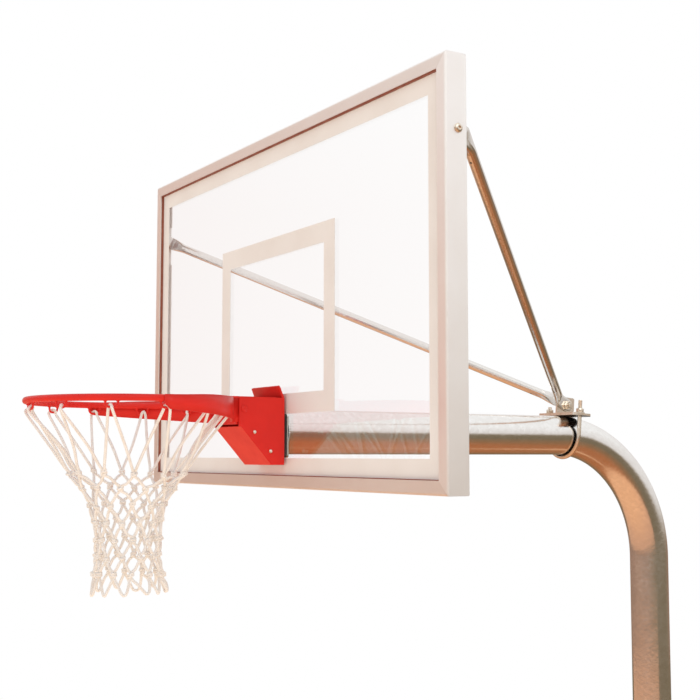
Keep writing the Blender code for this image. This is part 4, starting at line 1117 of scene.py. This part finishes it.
@dataclass
class Clamp:
    """U-bolt round the arm with its threads, nuts and washers, and the bolt through the tab.

    Heights are over the crest of the pipe, in the clamp's own tilted place.
    """

    gap: float = 0.0003
    play: float = 0.0006  # of a hole over its bolt
    plate: float = 0.0075
    rod: float = 0.012
    rod_sides: int = 16
    spread: float = 0.132
    legs: tuple = (("left", -1, 0.030), ("right", 1, 0.0465))
    thread_pitch: float = 0.00175
    thread_depth: float = 0.0007
    threaded: float = 0.034
    fade: float = 0.003  # length over which the thread runs out
    tip: tuple = (0.0015, 0.0012)  # length and depth of the chamfer at the rod's ends
    washer: tuple = (0.028, 0.0025)
    washer_edge: float = 0.0004
    nut: tuple = (0.01905, 0.011)
    nut_turn: float = 0.4
    hex_steps: int = 72
    face: float = 0.96  # a hexagon's flat face over its width
    cut: float = 0.62  # height of the cut of its corners over that cut's depth
    tab: tuple = (0.0025, 0.0335)  # the tab bolt: along the pipe and over its crest
    tab_shank: float = 0.0127
    tab_head: tuple = (0.01905, 0.008)
    tab_nut: tuple = (0.022225, 0.011)
    tab_stack: float = 0.0072  # half of what the bolt clamps
    tab_past: float = 0.004
    shank_tip: float = 0.001
    sharp: float = 35.0

    def thread(self, run: Array, depth: Array) -> Array:
        """Rod radius with a thread: it dips as a triangle wave of the run less the turn.

        Args:
            run: length along the rod at each ring.
            depth: depth of the thread at each ring.

        Returns:
            Radius at each ring and side.
        """
        turn = np.arange(self.rod_sides) / self.rod_sides
        phase = (run[:, None] / self.thread_pitch - turn) % 1.0
        return self.rod / 2 - depth[:, None] * np.abs(2 * phase - 1)

    def u_bolt(self) -> Surface:
        """The rod: down one leg, round under the pipe and up the other, threaded at both ends.

        Returns:
            The rod.
        """
        half = self.spread / 2
        arc_z = half - 2 * POST_RADIUS - self.gap - self.rod / 2
        fine = self.thread_pitch / 5
        left, right = (np.arange(top, top - self.threaded, -fine) for _, _, top in self.legs)
        down = np.concatenate([left, np.linspace(left[-1], arc_z, 12)[1:]])
        up = np.concatenate([np.linspace(arc_z, right[-1], 14)[:-1], right[::-1]])
        angle = np.linspace(0, pi, 60)[1:-1]
        x = np.concatenate([0 * down - half, -half * np.cos(angle), 0 * up + half])
        z = np.concatenate([down, arc_z - half * np.sin(angle), up])
        path = np.stack([x, 0 * x, z], -1)[None]
        run = runs(path)[0]
        near_end = np.minimum(run, run[-1] - run)
        depth = self.thread_depth * np.clip((self.threaded - near_end) / self.fade, 0, 1)
        chamfer = self.tip[1] * np.clip(1 - near_end / self.tip[0], 0, 1)
        radius = self.thread(run, depth) - chamfer[:, None]
        return tubes(path, np.array([[0, 1.0, 0]]), radius[None], self.rod_sides)

    def hex_sizes(self, across: float) -> tuple[float, float, float]:
        """A hexagon's corner radius, the height of its corners' cut, and the radius of its face."""
        corner = across / 2 / cos(pi / 6)
        return corner, (corner - across / 2) * self.cut, across / 2 * self.face

    def hex_nut(self, across: float, height: float, bore: float) -> Surface:
        """Hexagon with its corners taken off at both faces, bored through, standing on Z = 0.

        Args:
            across: width over the flats.
            height: its height.
            bore: diameter of its hole.

        Returns:
            The nut.
        """
        corner, cut, face = self.hex_sizes(across)
        lip = bore / 2 + self.play
        profile = np.array([[lip, 0], [face, 0], [corner, cut], [corner, height - cut], [face, height],
                            [lip, height], [bore / 2, height - self.play], [bore / 2, self.play]])
        return turned(profile, self.hex_steps, hexagon(across, self.hex_steps))

    def hex_bolt(self, across: float, height: float, shank: float, length: float) -> Surface:
        """Bolt with its chamfered head under Z = 0 and its shank standing over it.

        Args:
            across: width over the head's flats.
            height: the head's height.
            shank: the shank's diameter.
            length: the shank's length.

        Returns:
            The bolt.
        """
        corner, cut, face = self.hex_sizes(across)
        profile = np.array([[face, -height], [corner, cut - height], [corner, 0], [shank / 2, 0],
                            [shank / 2, length - self.shank_tip], [shank / 2 - self.shank_tip, length]])
        return turned(profile, self.hex_steps, hexagon(across, self.hex_steps), closed=False)

    def washer_ring(self, bore: float) -> Surface:
        """Flat washer with its edges just broken, standing on Z = 0.

        Args:
            bore: diameter of its hole.

        Returns:
            The washer.
        """
        (wide, thick), edge = self.washer, self.washer_edge
        profile = np.array([[bore / 2, 0], [wide / 2 - edge, 0], [wide / 2, edge], [wide / 2, thick - edge],
                            [wide / 2 - edge, thick], [bore / 2, thick]])
        return turned(profile, 64)

    def build(self) -> None:
        """Make the U-bolt, its nuts and washers, and the tab's bolt and nut."""
        place = clamp_place()
        rod = self.u_bolt().moved(place).to_object("threaded_u_bolt", ROD, 50)
        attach(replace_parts(rod, "u_bolt"), STAND)
        bore = self.rod + self.play
        washer_z = self.gap * 2 + self.plate
        nut_z = washer_z + self.washer[1] + self.gap
        for label, side, _ in self.legs:
            at = place @ Matrix.Translation((side * self.spread / 2, 0, washer_z))
            washer = self.washer_ring(bore).moved(at).to_object(f"flat_washer_{label}", ZINC, self.sharp)
            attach(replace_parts(washer, f"u_bolt_washer_{label}"), STAND)
            at = (place @ Matrix.Translation((side * self.spread / 2, 0, nut_z))
                  @ Matrix.Rotation(self.nut_turn * side, 4, "Z"))
            nut = self.hex_nut(*self.nut, bore).moved(at).to_object(f"hex_nut_{label}", ZINC, self.sharp)
            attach(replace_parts(nut, f"u_bolt_nut_{label}"), STAND)
        along_x = Matrix.Rotation(pi / 2, 4, "Y")
        start = self.tab_stack + self.gap / 2
        length = start + self.tab_stack + self.gap * 1.5 + self.tab_nut[1] + self.tab_past
        at = place @ Matrix.Translation((-start, *self.tab)) @ along_x
        bolt = self.hex_bolt(*self.tab_head, self.tab_shank, length).moved(at)
        bolt = bolt.to_object("hex_tab_bolt", ZINC, self.sharp)
        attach(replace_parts(bolt, "tab_bolt"), STAND)
        at = place @ Matrix.Translation((self.tab_stack + self.gap, *self.tab)) @ along_x
        nut = self.hex_nut(*self.tab_nut, self.tab_shank + self.play).moved(at)
        nut = nut.to_object("hex_tab_nut", ZINC, self.sharp)
        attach(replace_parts(nut, "tab_nut"), STAND)


# Finish of each CAD node, by the longest of these that its name starts with
FINISHES = {
    "gooseneck_post": TUBE, "arm_end_plate": TUBE, "brace": BRACE_TUBE, "brace_saddle": SADDLE,
    # frame_right takes the upright's finish with painted light
    "frame": RAIL, "frame_left": UPRIGHT, "frame_right": LIT_UPRIGHT, "frame_bolt": ZINC, "frame_nut": ZINC,
    "backboard_glass": GLASS, "border_line": LINES, "target_line": LINES, "glazing_gasket": GLAZING,
    "rear_gasket": RUBBER, "setting_block": RUBBER, "rim_pad": RUBBER, "glass_bushing": BUSH,
    "tab": ZINC, "u_bolt": ZINC, "mount_bolt": ZINC, "cover_screw": ZINC,
    "rim": RED, "bracket_cover": RED, "pivot": RED, "spring": SPRING, "net": CORD,
}


def dress_nodes() -> None:
    """Give each CAD node its finish."""
    for name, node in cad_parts.items():
        finish = FINISHES[max(filter(name.startswith, FINISHES), key=len)]
        node.data.materials.clear()
        node.data.materials.append(finish.material())


# Stage
@dataclass
class Stage:
    """Camera at the photograph's place, pale floor, soft light, and what the metal mirrors."""

    eye: tuple = (2.7244, -2.75867, 2.91412)
    yaw: float = 1.02383
    pitch: float = 0.08732
    roll: float = 0.00057
    focal: float = 1207.387  # pixels of a 700 pixel frame
    middle: tuple = (344.237, 349.259)
    frame_size: float = 700.0
    sensor: float = 36.0
    clip: tuple = (0.05, 100)
    floor_radius: float = 14.0
    floor_sides: int = 96
    floor: str = "#F4F2EF"
    glow_from: tuple = (2.0, 7.0)  # metres out over which the floor goes to white
    glow_share: tuple = (0.35, 1.0)
    court_edge: tuple = (-0.35, 0.15)  # the court lies on the board's side of this band across Y
    patches: tuple = (1.6, 1.6)  # lumps to the metre of the mirrored ground, and metres they reach
    near_court: str = "#F2B486"
    far_court: str = "#D9A380"
    court_fade: tuple = (3.2, 8.0)
    clay: str = "#B06C42"
    soil: str = "#8D6948"
    soil_from: tuple = (2.8, 5.0)
    grass: str = "#74664F"
    grass_from: tuple = (5.5, 9.0)
    plain: str = "#9A7B68"
    plain_side: tuple = (-0.8, -0.1)
    sky_from: tuple = (-0.05, 0.0)  # heights here are sines of the angle over the horizon
    horizon: str = "#AA9C8A"
    low_sky: str = "#EEEAE8"
    near_band: tuple = (-0.01, 0.10)
    warm_haze: str = "#F2CDB4"
    haze: str = "#D6C8BE"
    far_band: tuple = (0.03, 0.14)
    high_sky: tuple = (0.20, 0.55)
    far_side: tuple = (-0.90, -0.436, 0.0)
    haze_side: tuple = (0.2, 0.7)  # sides are cosines of the angle from the far side
    trees: str = "#D29A84"
    tree_side: tuple = (0.93, 0.985)
    bounce: str = "#FFEBD8"
    shade: str = "#CBCBCE"
    fill: float = 1.25  # light on matt surfaces, over that in reflections
    sun: tuple = (0.80, -0.25, 0.62)
    sun_colour: str = "#FFF7EE"
    sun_power: float = 0.4
    sun_width: float = 24.0

    def camera(self) -> None:
        """Camera turned by yaw, pitch and roll, its shift putting the axis at the middle."""
        data = bpy.data.cameras.new("camera")
        data.sensor_width = self.sensor
        data.lens = self.focal * self.sensor / self.frame_size
        data.shift_x = (self.frame_size / 2 - self.middle[0]) / self.frame_size
        data.shift_y = (self.middle[1] - self.frame_size / 2) / self.frame_size
        data.clip_start, data.clip_end = self.clip
        camera = put("camera", data)
        camera.matrix_world = (Matrix.Translation(self.eye) @ Matrix.Rotation(self.yaw, 4, "Z")
                               @ Matrix.Rotation(pi / 2 + self.pitch, 4, "X")
                               @ Matrix.Rotation(self.roll, 4, "Z"))
        bpy.context.scene.camera = camera

    def rays(self, tree: Tree) -> tuple[Socket, Socket]:
        """1 for rays that show the plain background, and 1 for those that a gloss mirrors.

        Args:
            tree: the node tree.

        Returns:
            The two shares' sockets.
        """
        path = add_node(tree, "LightPath").outputs
        seen = maths(tree, "MAXIMUM", path["Is Camera Ray"], path["Is Transmission Ray"])
        return seen, path["Is Glossy Ray"]

    def world(self) -> None:
        """White where it is seen; elsewhere a pale sky over a sunlit court.

        What a gloss mirrors also has the haze low over the court's far side, where
        buildings and trees stand in the photograph's own reflections.
        """
        world = bpy.data.worlds.new("sky")
        bpy.context.scene.world = world
        world.use_nodes = True
        tree = world.node_tree
        tree.nodes.clear()
        seen, mirrored = self.rays(tree)
        direction = coordinates(tree, "Generated")
        height = split(tree, direction)["Z"]
        above = spread(tree, height, self.sky_from)
        toward = add_node(tree, "VectorMath", {0: direction, 1: self.far_side},
                          operation="DOT_PRODUCT").outputs["Value"]
        near = blend(tree, spread(tree, height, self.near_band), self.horizon, self.low_sky)
        far = blend(tree, spread(tree, height, self.far_band), self.warm_haze, self.haze)
        far = blend(tree, spread(tree, toward, self.tree_side), far, self.trees)
        band = blend(tree, spread(tree, toward, self.haze_side), near, far)
        sky = blend(tree, spread(tree, height, self.high_sky), band, WHITE)
        land = blend(tree, spread(tree, toward, self.plain_side), self.grass, self.plain)
        soft = blend(tree, above, self.bounce, self.shade)
        other = blend(tree, mirrored, soft, blend(tree, above, land, sky))
        strength = spread(tree, maths(tree, "MAXIMUM", seen, mirrored), (0, 1), (self.fill, 1.0))
        light = add_node(tree, "Background", {"Color": blend(tree, seen, other, WHITE), "Strength": strength})
        add_node(tree, "OutputWorld", {"Surface": light.outputs[0]})

    def ground(self) -> None:
        """Round floor: pale where it is seen, a sunlit court in light and reflections."""
        mesh = bpy.data.meshes.new("floor")
        points = about_z(self.floor_radius, circle(self.floor_sides))
        mesh.from_pydata(points.tolist(), [], [list(range(self.floor_sides))])
        material = bpy.data.materials.new("pale floor")
        material.use_nodes = True
        tree = material.node_tree
        tree.nodes.clear()
        seen, mirrored = self.rays(tree)
        place = coordinates(tree)
        far = add_node(tree, "VectorMath", {0: place}, operation="LENGTH").outputs["Value"]
        lumps, depth = self.patches
        reach = maths(tree, "MULTIPLY_ADD", noise(tree, place, lumps, detail=4.0), depth, far)
        behind = blend(tree, spread(tree, reach, self.soil_from), self.clay, self.soil)
        behind = blend(tree, spread(tree, reach, self.grass_from), behind, self.grass)
        court = blend(tree, spread(tree, reach, self.court_fade), self.near_court, self.far_court)
        on_court = spread(tree, split(tree, place)["Y"], self.court_edge, (1, 0))
        light = blend(tree, mirrored, self.bounce, blend(tree, on_court, behind, court))
        strength = spread(tree, mirrored, (0, 1), (self.fill, 1.0))
        lit = add_node(tree, "Emission", {"Color": light, "Strength": strength}).outputs[0]
        matt = add_node(tree, "BsdfDiffuse", {"Color": self.floor}).outputs[0]
        glow = add_node(tree, "Emission", {"Color": WHITE, "Strength": 1.0}).outputs[0]
        fade = spread(tree, far, self.glow_from, self.glow_share)
        pale = add_node(tree, "MixShader", {0: fade, 1: matt, 2: glow}).outputs[0]
        both = add_node(tree, "MixShader", {0: seen, 1: lit, 2: pale}).outputs[0]
        add_node(tree, "OutputMaterial", {"Surface": both})
        mesh.materials.append(material)
        floor = put("floor", mesh)

    def lamps(self) -> None:
        """A broad soft lamp from the right and above, as a hazy sun."""
        data = bpy.data.lights.new("hazy_sun", "SUN")
        data.energy = self.sun_power
        data.angle = radians(self.sun_width)
        data.color = linear(self.sun_colour)[:3]
        lamp = put("hazy_sun", data)
        lamp.rotation_euler = Vector(self.sun).to_track_quat("Z", "Y").to_euler()

    def build(self) -> None:
        """Set the camera, the background, the floor and the light."""
        self.camera()
        self.world()
        self.ground()
        self.lamps()
        bpy.context.scene.view_settings.view_transform = "Standard"


def main() -> None:
    """Dress the nodes, build each sub-assembly and set the stage."""
    logging.basicConfig(level=logging.INFO, format="%(name)s: %(message)s")
    dress_nodes()
    for assembly in (GooseneckPost(), Ring(), Straps(), Net(), Clamp()):
        assembly.build()
        LOG.info("built %s", type(assembly).__name__)
    Stage().build()


if __name__ == "__main__":
    main()
